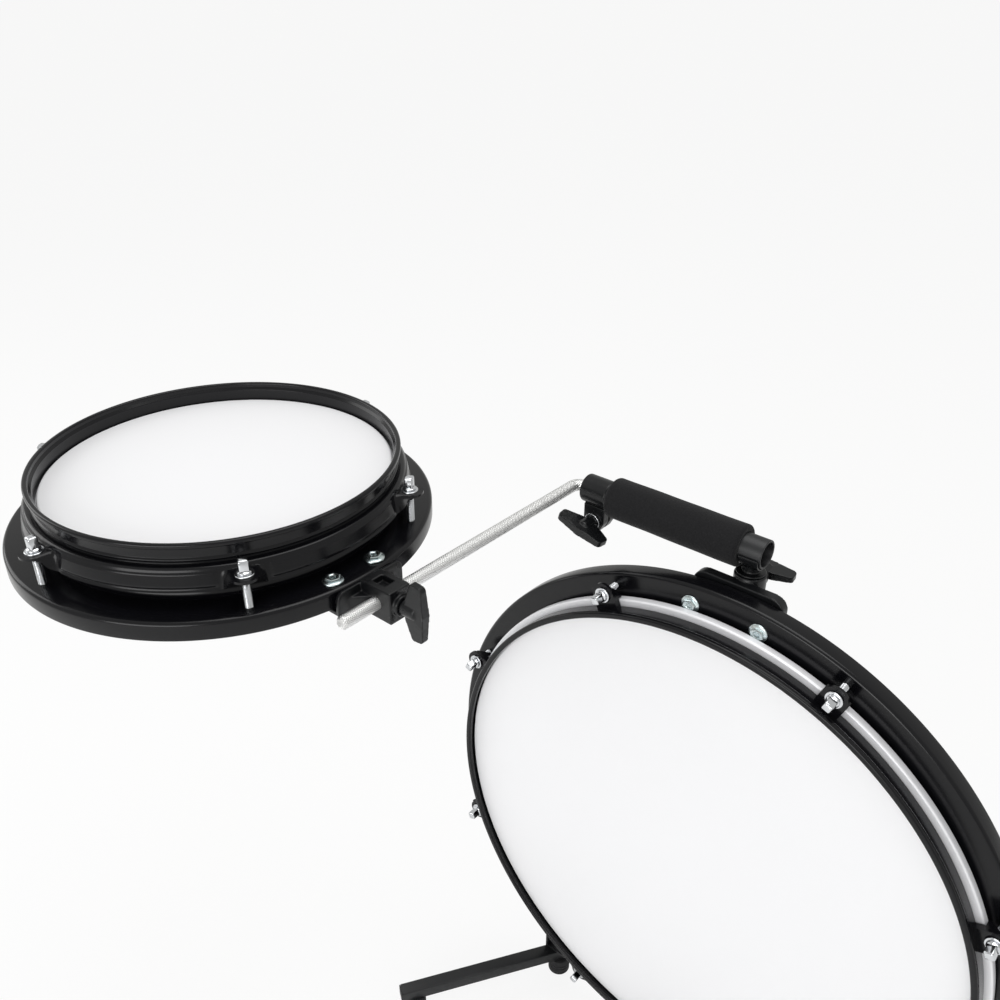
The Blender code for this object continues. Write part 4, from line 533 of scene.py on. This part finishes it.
def flange_screw(grip):
    """Turned flange under a hexagon with a recessed top; the thread runs grip + 6 mm back."""
    flange = rounded([(0.0, 1.9), (5.0, 1.9), (7.3, 1.1, 0.6), (7.6, 0.0, 0.2), (0.0, 0.0)], 3)
    profile = [(0.0, 2.6), (2.3, 2.6), (2.9, 3.3), (3.9, 3.6), (5.0, 3.5), (5.5, 3.0),
               (5.5, 1.0), (0.0, 1.0)]
    arm, half = 1.9, 0.5
    cross = prism(rounded([(-arm, -half), (-half, -half), (-half, -arm), (half, -arm),
                           (half, -half), (arm, -half), (arm, half), (half, half), (half, arm),
                           (-half, arm), (-half, half), (-arm, half)]), 2.4, 2.9)
    shank = stitched(threaded(2.5, -grip - 6.0, 0.2, 0.8, 0.35, 20), caps=True)
    return merged(stitched(turned(flange, 48)), stitched(turned(np.array(profile), 6)), cross,
                  shank)


def bracket_screw(node_name, drum, middle, side, grip, turn):
    """A screw on a drum's face, on the circle of radius r and `side` mm off the line at angle a:
    its place is sqrt(r^2 - side^2) along the line and side across it."""
    body, origin, axes, radius, face = drum
    a = math.radians(middle)
    along = math.sqrt(radius ** 2 - side ** 2)
    x = along * math.cos(a) - side * math.sin(a)
    y = along * math.sin(a) + side * math.cos(a)
    local = set_at(flange_screw(grip), (x, y, face), turn_z(turn))
    piece(node_name + "_piece", set_at(local, origin, axes), zinc_blue, body, [node_name])


# Body, place, axes, circle of the screws and level of the face that their flanges sit on
BASS_SCREW_CIRCLE, LEG_PIVOT_X = 236.5, 137.0
on_bass = "bass_drum", BASS, FACE_FRONT, BASS_SCREW_CIRCLE, -25.7
on_snare = "snare_drum", SNARE, UP_Z, SNARE_ROD_CIRCLE, -43.7
leg_side = math.degrees(math.acos(LEG_PIVOT_X / BASS_SCREW_CIRCLE))
for name, drum, middle, side, grip, turn in (
        ("handle_bracket_screw_left", on_bass, 90.0, 27.0, 20.0, 0.3),
        ("handle_bracket_screw_right", on_bass, 90.0, -27.0, 20.0, 0.8),
        ("pedal_plate_screw_left", on_bass, 270.0, -27.0, 20.0, 0.1),
        ("pedal_plate_screw_right", on_bass, 270.0, 27.0, 20.0, 0.6),
        ("snare_bracket_screw_front", on_snare, 0.0, -18.5, 16.0, 0.2),
        ("snare_bracket_screw_rear", on_snare, 0.0, 18.5, 16.0, 0.9),
        ("leg_bracket_screw_left_1", on_bass, 180.0 + leg_side, -18.5, 18.0, 0.4),
        ("leg_bracket_screw_left_2", on_bass, 180.0 + leg_side, 18.5, 18.0, 0.0),
        ("leg_bracket_screw_right_1", on_bass, -leg_side, -18.5, 18.0, 0.7),
        ("leg_bracket_screw_right_2", on_bass, -leg_side, 18.5, 18.0, 0.2)):
    bracket_screw(name, drum, middle, side, grip, turn)


# Handle bracket.
# Zinc die casting behind the top of the ring: a round-ended plate, a barrel for the tee's stem
# and a boss for the wing screw. It is dip coated black, which leaves a fine uneven skin.
black_casting, shader = surface_of("black_coated_zinc_casting", "0e0f11", 0.34, IOR=1.42)
bumped(black_casting, shader, noise(black_casting, 650.0, 3.0), 0, 0.16, 0.0003)
worn(black_casting, shader, noise(black_casting, 60.0, 4.0), 0.2, 0.4)

ALONG_X = np.array([[0.0, 1.0, 0.0], [0.0, 0.0, 1.0], [1.0, 0.0, 0.0]])
ALONG_Y = np.array([[0.0, 0.0, 1.0], [1.0, 0.0, 0.0], [0.0, 1.0, 0.0]])


def sleeve(inner, outer, low, high, edge=0.6, sides=72):
    """Turned ring between two radii and two heights, its four edges rounded."""
    section = rounded([(inner, high, edge), (outer, high, edge), (outer, low, edge),
                       (inner, low, edge)], 3)
    return stitched(turned(section, sides), along=True)


CASTING_SHARP, BARREL_Y, SCREW_Z = 60, 60, 246.8
plate = prism(rounded([(-36, 226, 10), (36, 226, 10), (36, 255, 10), (-36, 255, 10)], 10),
              -49.8, -41.8)
web = prism(rounded([(-9, 48), (9, 48), (7.5, 60), (-7.5, 60)]), 230.5, 252.5)
barrel = sleeve(8.3, 12.0, 231.4, 257.3, 1.0)
boss = stitched(turned(rounded([(0.0, 16.0), (7.6, 16.0, 1.0), (8.6, 9.0), (0.0, 9.0)], 3), 48))
bracket = merged(set_at(plate, (0, 0, 0), FACE_FRONT), web, set_at(barrel, (0, BARREL_Y, 0)),
                 set_at(boss, (0, BARREL_Y, SCREW_Z), ALONG_Y))
piece("handle_casting", set_at(bracket, BASS), black_casting, "bass_drum", ["handle_bracket"],
      CASTING_SHARP, 0.55)


# Wing screws.
# A steel screw moulded into a cast wing: a flat-faced bar with tapered ends on a round hub. One
# locks the grip's swivel, one pinches the rod clamp and one holds the snare drum on the rod.
WING_HALF = 22.5


def wing_outline():
    """Half outline mirrored in x: (across, along the screw), tips swept away from the hub."""
    half = [(0.0, 3.0), (7.3, 3.0, 3.0), (WING_HALF, 8.0, 2.6), (21.3, 17.9, 3.4),
            (8.8, 18.7, 6.0), (0.0, 19.5)]
    other = [(-c[0],) + c[1:] for c in half[::-1] if c[0] > 0]
    return rounded(half + other, 6)


def wing_screw(reach):
    """Wing, hub and thread; the blade's thickness falls by a third from hub to tip."""
    blade, faces = prism(wing_outline(), -3.7, 3.7)
    ones = np.ones(len(blade))
    blade = blade * np.stack([ones, ones, 1 - 0.35 * (np.abs(blade[:, 0]) / WING_HALF)], 1)
    blade = set_at((blade, faces), (0, 0, 0), FACE_FRONT)
    hub = stitched(turned(rounded([(0.0, 13.0), (5.4, 13.0, 2.0), (5.8, 0.0, 0.8),
                                   (0.0, 0.0)], 4), 48))
    shank = stitched(threaded(2.9, -reach, 0.4, 1.0, 0.4, 24), caps=True)
    return merged(blade, hub), shank


def fitted_wing(name, body, node_name, origin, axes, reach):
    """The wing is one casting, and its thread is a bright piece in it."""
    wing, shank = wing_screw(reach)
    piece(name, set_at(wing, origin, axes), black_casting, body, [node_name], CASTING_SHARP, 0.4)
    piece(name + "_thread", set_at(shank, origin, axes), chrome_plate, body, [])


# Local x is the bar, local y its thickness, local z the screw's axis outwards
WING_BACK = np.array([[-1.0, 0.0, 0.0], [0.0, 0.0, 1.0], [0.0, 1.0, 0.0]])
WING_RIGHT = np.array([[0.0, 0.0, -1.0], [0.0, 1.0, 0.0], [1.0, 0.0, 0.0]])
tilt = math.radians(16)
WING_FRONT = np.array([[math.cos(tilt), 0.0, -math.sin(tilt)],
                       [math.sin(tilt), 0.0, math.cos(tilt)], [0.0, -1.0, 0.0]])
fitted_wing("receiver_wing", "receiver_screw", "receiver_wing_screw",
            BASS + [0, 76.3, SCREW_Z], WING_BACK, 7.6)
fitted_wing("clamp_wing", "clamp_screw", "rod_clamp_wing_screw",
            BASS + [-134.5, 49.8, 252.5], WING_FRONT, 17.2)
fitted_wing("snare_wing", "snare_screw", "snare_wing_screw",
            BASS + [-139.7, -151.5, 276.0], WING_RIGHT, 9.8)


# Tee and grip tube.
# The tee is cast: a saddle welded under the tube's end, on a neck, a collar and a stem that turns
# in the barrel. The tube is steel, satin black inside and out.
SADDLE_BORE, SADDLE_R = 11.4, 12.9
neck = stitched(turned(rounded([
    (0.0, -SADDLE_BORE), (6.4, -SADDLE_BORE), (6.4, -16.8, 0.8), (11.0, -16.8, 0.6),
    (11.0, -18.3, 0.6), (7.9, -18.4, 0.2), (7.9, -38.2, 1.0), (0.0, -38.2)], 3), 64))
angle = np.linspace(math.radians(184), math.radians(356), 60)
round_under = np.stack([np.cos(angle), np.sin(angle)], 1)
cradle = np.concatenate([SADDLE_R * round_under, SADDLE_BORE * round_under[::-1]])
saddle = set_at(prism(cradle, -6.5, 9.5), (0, 0, 0), ALONG_X)
piece("handle_tee_casting", set_at(merged(neck, saddle), GRIP), black_casting, "grip_arm",
      ["handle_tee"], CASTING_SHARP, 0.5)

# Satin black paint on steel: a dry film with fine flecks of grit
satin_coat, shader = surface_of("satin_black_paint_on_steel", "17181a", 0.4, IOR=1.5)
bumped(satin_coat, shader, noise(satin_coat, 900.0, 2.0), 0, 0.1, 0.0002)
worn(satin_coat, shader, noise(satin_coat, 30.0, 4.0), 0.34, 0.5)
piece("grip_tube", set_at(sleeve(9.4, 11.1, -122.6, 10.5, 0.6, 96), GRIP, ALONG_X), satin_coat,
      "grip_arm", ["handle_tube"])


# Foam grip.
# Closed-cell rubber foam, pushed over the tube. Its skin is matt with grains of about a
# millimetre, and its ends are ground round.
foam_rubber, shader = surface_of("closed_cell_rubber_foam", "111113", 0.92, IOR=1.3,
                                 Sheen_Weight=0.08)
# The bump is the foam skin's real grain; its colour, drawn from the same noise, is painted shade
# in the hollows and painted light on the grains' tops.
cells = noise(foam_rubber, 800.0, 4.0, 0.7)
tinted(foam_rubber, shader, cells, "060607", "222224")
bumped(foam_rubber, shader, cells, 0, 0.6, 0.0006)


def foam_sleeve(left, right, bore, radius, sides=128):
    """Turned sleeve with round ends. Its outer radius swells by 0.8 % x sin(0.11 h + 2 sin a) x
    sin(0.043 h + 2 a), at the length h and the angle a."""
    rows, swell_by = 60, 0.008
    straight = np.linspace(left + 7.0, right - 7.0, rows)
    ends = rounded([(bore, right, 0.6), (radius, right, 5.4), (radius, left, 5.4),
                    (bore, left, 0.6)], 8)
    cut = len(ends) // 2
    barrel = np.stack([np.full(rows, radius), straight[::-1]], 1)
    outline = np.vstack([ends[:cut], barrel, ends[cut:]])
    grid = turned(outline, sides)
    angle = np.linspace(0.0, 2 * np.pi, sides, endpoint=False)
    h = outline[:, 1:2]
    waves = np.sin(h * 0.11 + 2 * np.sin(angle)) * np.sin(h * 0.043 + angle * 2)
    swell = 1 + swell_by * waves
    swell = np.where(outline[:, :1] > bore + 1.5, swell - swell_by, 1.0)
    grid[..., :2] *= swell[..., None]
    return stitched(grid, along=True)


grip = piece("foam_sleeve", set_at(foam_sleeve(-121.1, -7.1, 11.4, 16.4), GRIP, ALONG_X),
             foam_rubber, "grip_arm", ["foam_grip"])


# Rod clamp.
# A split casting plugged into the tube: a round head over the rod, and an ear below it that the
# wing screw pinches shut. A nylon liner lines the bore.
head = sleeve(7.6, 11.4, -146.9, -122.9, 1.0)
stub = sleeve(7.9, 9.1, -124.0, -100.9, 0.5)
ear_side = rounded([(-143.6, -10.0), (-143.6, -23.5, 6.0), (-139.5, -32.7, 5.0),
                    (-129.5, -32.7, 5.0), (-124.6, -23.5, 6.0), (-124.2, -10.0)], 6)
halves = [set_at(prism(ear_side, low, high), (0, 0, 0), FACE_FRONT)
          for low, high in ((-8.0, -0.9), (0.9, 8.0))]
clamp = merged(set_at(head, (0, 0, 0), ALONG_X), set_at(stub, (0, 0, 0), ALONG_X), *halves)
piece("rod_clamp_casting", set_at(clamp, GRIP), black_casting, "grip_arm", ["rod_clamp"],
      CASTING_SHARP, 0.45)
washer = set_at(sleeve(3.3, 7.0, 0.0, 1.6, 0.4, 48), (0, 0, 0), FACE_FRONT)
piece("clamp_washer", set_at(washer, BASS + [-134.5, 51.7, 252.5]), chrome_plate, "grip_arm",
      ["rod_clamp_washer"])

# Injection moulded nylon: a dull skin with faint flow marks
moulded_nylon, shader = surface_of("moulded_black_nylon", "1b1b1d", 0.5, IOR=1.53)
bumped(moulded_nylon, shader, noise(moulded_nylon, 500.0, 2.0), 0, 0.08, 0.0002)


def liner(length):
    """Split liner with a flange at its mouth: a section carried round all but a 14 degree slit."""
    steps = 64
    outline = rounded([(5.2, 0.0, 0.3), (7.9, 0.0, 0.4), (7.9, -1.3, 0.3), (6.5, -1.4, 0.2),
                       (6.5, -length, 0.4), (5.2, -length, 0.2)], 3)
    angle = np.linspace(math.radians(-263), math.radians(83), steps)
    r, h = outline[:, :1], outline[:, 1:]
    grid = np.stack([r * np.cos(angle), r * np.sin(angle), h + 0 * angle], -1)
    points, faces = stitched(grid, around=False, along=True)
    edge = np.arange(len(outline)) * steps
    faces.append(edge[::-1].tolist())
    faces.append((edge + steps - 1).tolist())
    return points, faces


LEFTWARDS = np.array([[0.0, 1.0, 0.0], [0.0, 0.0, -1.0], [-1.0, 0.0, 0.0]])
piece("clamp_liner", set_at(liner(47.6), GRIP + [-148.5, 0, 0], LEFTWARDS), moulded_nylon,
      "clamp_liner", ["rod_clamp_liner"])
piece("snare_block_liner", set_at(liner(20.1), BASS + [-156.8, -140.7, 276.0], ALONG_Y),
      moulded_nylon, "snare_liner", ["snare_clamp_liner"])


# L rod.
# Steel rod, knurled all over and nickel plated, bent to an L. The diamonds are 1.3 mm across,
# drawn a little coarser than the real ones so that they show.
ROD_R, ROD_BEND, DIAMOND = 4.75, 8.0, 1.3
ROD_CORNER = GRIP + [-156.8, 0, 0]
# The wave repeats every 0.314 m over its scale, so 314 over a width in mm gives that width
WAVE_SCALE = 314.0
knurled_nickel, shader = surface_of("knurled_nickel_plate", "f3f3f2", 0.34, 1.0)
plot = node(knurled_nickel, "ShaderNodeUVMap", uv_map="along_and_round")
waves = []
for turn in (45, -45):
    lay = node(knurled_nickel, "ShaderNodeMapping", {"Rotation": (0.0, 0.0, math.radians(turn))},
               {"Vector": (plot, 0)})
    waves.append(node(knurled_nickel, "ShaderNodeTexWave",
                      {"Scale": WAVE_SCALE / DIAMOND, "Distortion": 0.2, "Detail": 1.0},
                      {"Vector": (lay, 0)}))
diamond = node(knurled_nickel, "ShaderNodeMath", (), {0: (waves[0], 1), 1: (waves[1], 1)},
               operation="MULTIPLY")
bumped(knurled_nickel, shader, diamond, 0, 0.75, 0.0004)


def knurled_rod(long=192.0, short=66.0, sides=48):
    """Circle swept along a path with a quarter turn; its radius falls as fast as the way to
    either end is short of 1.3 mm."""
    chamfer = 1.3
    first = np.stack([np.zeros(150), np.linspace(-long - 60.0, -ROD_BEND, 150)], 1)
    a = np.linspace(0.0, np.pi / 2, 24)[1:-1]
    quarter = np.stack([ROD_BEND - ROD_BEND * np.cos(a), -ROD_BEND + ROD_BEND * np.sin(a)], 1)
    second = np.stack([np.linspace(ROD_BEND, ROD_BEND + short, 50), np.zeros(50)], 1)
    path = np.vstack([first, quarter, second])
    gap = np.linalg.norm(np.diff(path, axis=0), axis=1)
    s = np.concatenate([[0.0], np.cumsum(gap)])
    edge = np.minimum(s, s[-1] - s)
    size = ROD_R - chamfer * np.clip(1 - edge / chamfer, 0.0, 1.0)
    ahead = np.gradient(path, axis=0)
    ahead /= np.linalg.norm(ahead, axis=1)[:, None]
    side = np.stack([ahead[:, 1], -ahead[:, 0]], 1)
    t = np.linspace(0.0, 2 * np.pi, sides, endpoint=False)
    x = path[:, :1] + side[:, :1] * size[:, None] * np.cos(t)
    y = path[:, 1:] + side[:, 1:] * size[:, None] * np.cos(t)
    z = size[:, None] * np.sin(t)
    return np.stack([x, y, z], -1)


def lay_along_and_round(item):
    """Map of the rod's skin in metres: across it runs the way along the middle line, which is y
    before the bend, bend radius x angle in it and x past it; up it runs rod radius x the angle
    round the middle line."""
    corner_saved = 3.4
    chart = item.data.uv_layers.new(name="along_and_round")
    loops = np.zeros(len(item.data.loops), dtype=np.int64)
    item.data.loops.foreach_get("vertex_index", loops)
    spots = np.zeros(len(item.data.vertices) * 3)
    item.data.vertices.foreach_get("co", spots)
    x, y, z = (spots.reshape(-1, 3) * 1000 - ROD_CORNER).T
    turned_by = np.arctan2(np.clip(x, 0, ROD_BEND), np.clip(-y, 0.1, ROD_BEND))
    in_bend = ROD_BEND * turned_by - ROD_BEND
    travel = np.where(y < -ROD_BEND, y, np.where(x > ROD_BEND, x - corner_saved, in_bend))
    circle = ROD_R * np.arctan2(z, np.where(y < -ROD_BEND, x, y))
    chart.data.foreach_set("uv", (np.stack([travel[loops], circle[loops]], 1) * 0.001).ravel())


shape = stitched(knurled_rod()[::-1], caps=True)
lay_along_and_round(piece("knurled_l_rod", set_at(shape, ROD_CORNER), knurled_nickel, "rod",
                          ["l_rod"]))


# Snare bracket.
# A casting screwed to the rim from below: a plate on the pan's wall, a foot under the pan, ribs,
# and a block with a square pocket that the rod passes through.
PAN_WALL, BLOCK_LOW, SCREW_APART = 160.0, -64.6, 18.5
plate = prism(rounded([(-29, -61.5, 1.5), (29, -61.5, 1.5), (29, -42.6, 6), (-29, -42.6, 6)], 8),
              -1.3, 1.3)
wall = prism(rounded([(-28, -61.5, 1.0), (28, -61.5, 1.0), (28, -44.6, 5), (-28, -44.6, 5)], 6),
             -2.25, 2.25)
plate = set_at(plate, (159.4, 0, 0), ALONG_X)
wall = set_at(wall, (158.55, 0, 0), ALONG_X)
foot = prism(rounded([(159.8, -28), (159.8, 28), (132.3, 28, 5), (132.3, -28, 5)][::-1], 6),
             -61.4, -58.4)
block_side = rounded([(PAN_WALL, -64.7, 1.6), (188.3, -64.7, 1.6), (188.3, -40.3, 1.6),
                      (166.0, -40.3, 1.6), (PAN_WALL, -44.0, 1.0)], 4)
cheek = [set_at(prism(block_side, low, high), (0, 0, 0), FACE_FRONT)
         for low, high in ((-9.25, -4.75), (4.75, 9.25))]


def block(near, far, high):
    """A slab of the block between two distances from the drum's axis, up to a height."""
    return prism(np.array([(near, -9.2), (far, -9.2), (far, 9.2), (near, 9.2)]), BLOCK_LOW, high)


ribs = []
for side in (-1, 1):
    curve = rounded([(PAN_WALL, side * 9.0), (171.0, side * 9.0, 1.0), (160.6, side * 20.0, 9.0),
                     (PAN_WALL, side * 24.0)][::side], 8)
    ribs.append(prism(curve, -60.0, -49.0))
boss = set_at(stitched(turned(rounded([(0.0, 191.8), (7.6, 191.8, 0.8), (7.6, 185.0),
                                       (0.0, 185.0)], 3), 48)), (0, 0, -52.3), ALONG_X)
nut_section = rounded([(0.0, -61.0), (5.6, -61.0, 0.5), (5.6, -65.4, 0.5), (0.0, -65.4)], 3)
nuts = [set_at(stitched(turned(nut_section, 6)), (143.8, side * SCREW_APART, 0))
        for side in (-1, 1)]
casting = merged(plate, wall, foot, *cheek, block(PAN_WALL, 167.0, -40.4),
                 block(178.2, 188.2, -40.4), block(162, 186, -45.0), *ribs, boss, *nuts)
piece("snare_bracket_casting", set_at(casting, SNARE), black_casting, "snare_drum",
      ["snare_bracket"], CASTING_SHARP, 0.5)


# Legs.
# Square steel tube in the satin black paint, with a nylon plug pressed into the end. Each leg
# swings on a bolt that stands on a rubber foot, and a ribbed rubber foot is screwed to its toe.
tread_rubber, shader = surface_of("moulded_black_rubber", "1c1c1e", 0.75, IOR=1.5)
# The bump is the rubber's real grain; its colour, drawn from the same noise, is painted shade in
# the hollows and painted light on the rises.
grain_and_painted_shade = noise(tread_rubber, 320.0, 4.0)
tinted(tread_rubber, shader, grain_and_painted_shade, "141415", "262628")
bumped(tread_rubber, shader, grain_and_painted_shade, 0, 0.2, 0.0003)


def ribbed_foot(height, socket, depth):
    """Turned foot: a rounded tread with two grooves round it, and a socket on top."""
    tread, groove = 10.9, 10.2
    return stitched(turned(rounded([
        (0.0, height - depth), (socket, height - depth), (socket, height, 0.3),
        (10.3, height, 0.8), (tread, 14.0, 0.6), (tread, 12.4), (groove, 12.0), (groove, 11.4),
        (tread, 11.0), (tread, 8.6), (groove, 8.2), (groove, 7.6), (tread, 7.2),
        (tread, 0.0, 3.0), (8.6, 0.0, 0.4), (7.8, 0.8), (0.0, 0.8)], 4), 72))


def ring_at(outline, scale, height):
    """The outline made larger or smaller by a scale, at a height."""
    return np.concatenate([outline * scale, np.full((len(outline), 1), height)], 1)


HALF_BAR, BORE_SHARE, BAR_HEEL, BAR_TOE, TOE_REACH = 6.35, 0.764, -9.0, 167.0, 154.0
square = [(x * HALF_BAR, y * HALF_BAR) for x, y in ((-1, -1), (1, -1), (1, 1), (-1, 1))]
outer = rounded([(x, y, 1.2) for x, y in square], 5)
inner = rounded([(x * BORE_SHARE, y * BORE_SHARE, 0.6) for x, y in square], 5)
bar = stitched(np.stack([
    ring_at(outer, 0.965, BAR_TOE), ring_at(outer, 1, BAR_TOE - 0.3),
    ring_at(outer, 1, BAR_HEEL + 0.3), ring_at(outer, 0.965, BAR_HEEL),
    ring_at(inner, 1, BAR_HEEL), ring_at(inner, 1, BAR_TOE)]), along=True)
cap = stitched(np.stack([ring_at(outer, scale, height) for scale, height in (
    (0.6, 168.4), (0.9, 168.3), (0.97, 168.0), (0.97, 167.3), (0.72, 167.2), (0.70, 160.0))]),
    caps=True)
for side, name, heading in ((-1, "left", 237.5), (1, "right", 302.5)):
    body = name + "_leg"
    pivot = np.array([side * LEG_PIVOT_X + BASS[0], 36.0 + BASS[1], 0.0])
    rest = math.radians(heading)
    ahead = np.array([math.cos(rest), math.sin(rest), 0.0])
    across = np.array([-math.sin(rest), math.cos(rest), 0.0])
    lengthways = np.array([across, [0.0, 0.0, 1.0], ahead])
    middle = pivot + [0, 0, 24.65]
    piece("leg_bar_" + name + "_tube", set_at(bar, middle, lengthways), satin_coat, body,
          ["leg_bar_" + name])
    piece("leg_plug_" + name, set_at(cap, middle, lengthways), moulded_nylon, body,
          ["leg_end_plug_" + name])
    piece("pivot_foot_" + name, set_at(ribbed_foot(18.0, 5.5, 9.0), pivot), tread_rubber,
          "bass_drum", ["leg_pivot_foot_" + name])
    piece("toe_foot_" + name, set_at(ribbed_foot(18.0, 3.0, 1.0), pivot + ahead * TOE_REACH),
          tread_rubber, body, ["leg_toe_foot_" + name])


# Folded sheet metal, pivot bolts and snare wires.
# The pedal plate and the leg brackets are folded from steel sheet, and the wires are coiled from
# spring steel. Their solids have the real pieces' shape, so they keep it and take its finish.
spring_wire, shader = surface_of("bright_spring_wire", "d4d5d8", 0.26, 1.0)
space = node(spring_wire, "ShaderNodeTexCoord")
COIL_PITCH = 1.6
coil = node(spring_wire, "ShaderNodeTexWave", {"Scale": WAVE_SCALE / COIL_PITCH},
            {"Vector": (space, "Object")}, bands_direction="Y")
bumped(spring_wire, shader, coil, 1, 0.8, 0.0005)
finishes = {"pedal_plate": satin_coat, "leg_bracket_left": satin_coat,
            "leg_bracket_right": satin_coat, "leg_pivot_bolt_left": zinc_blue,
            "leg_pivot_bolt_right": zinc_blue, "snare_wires": spring_wire}
for carried, finish in finishes.items():
    for place in bpy.data.objects[carried].material_slots:
        place.material = finish
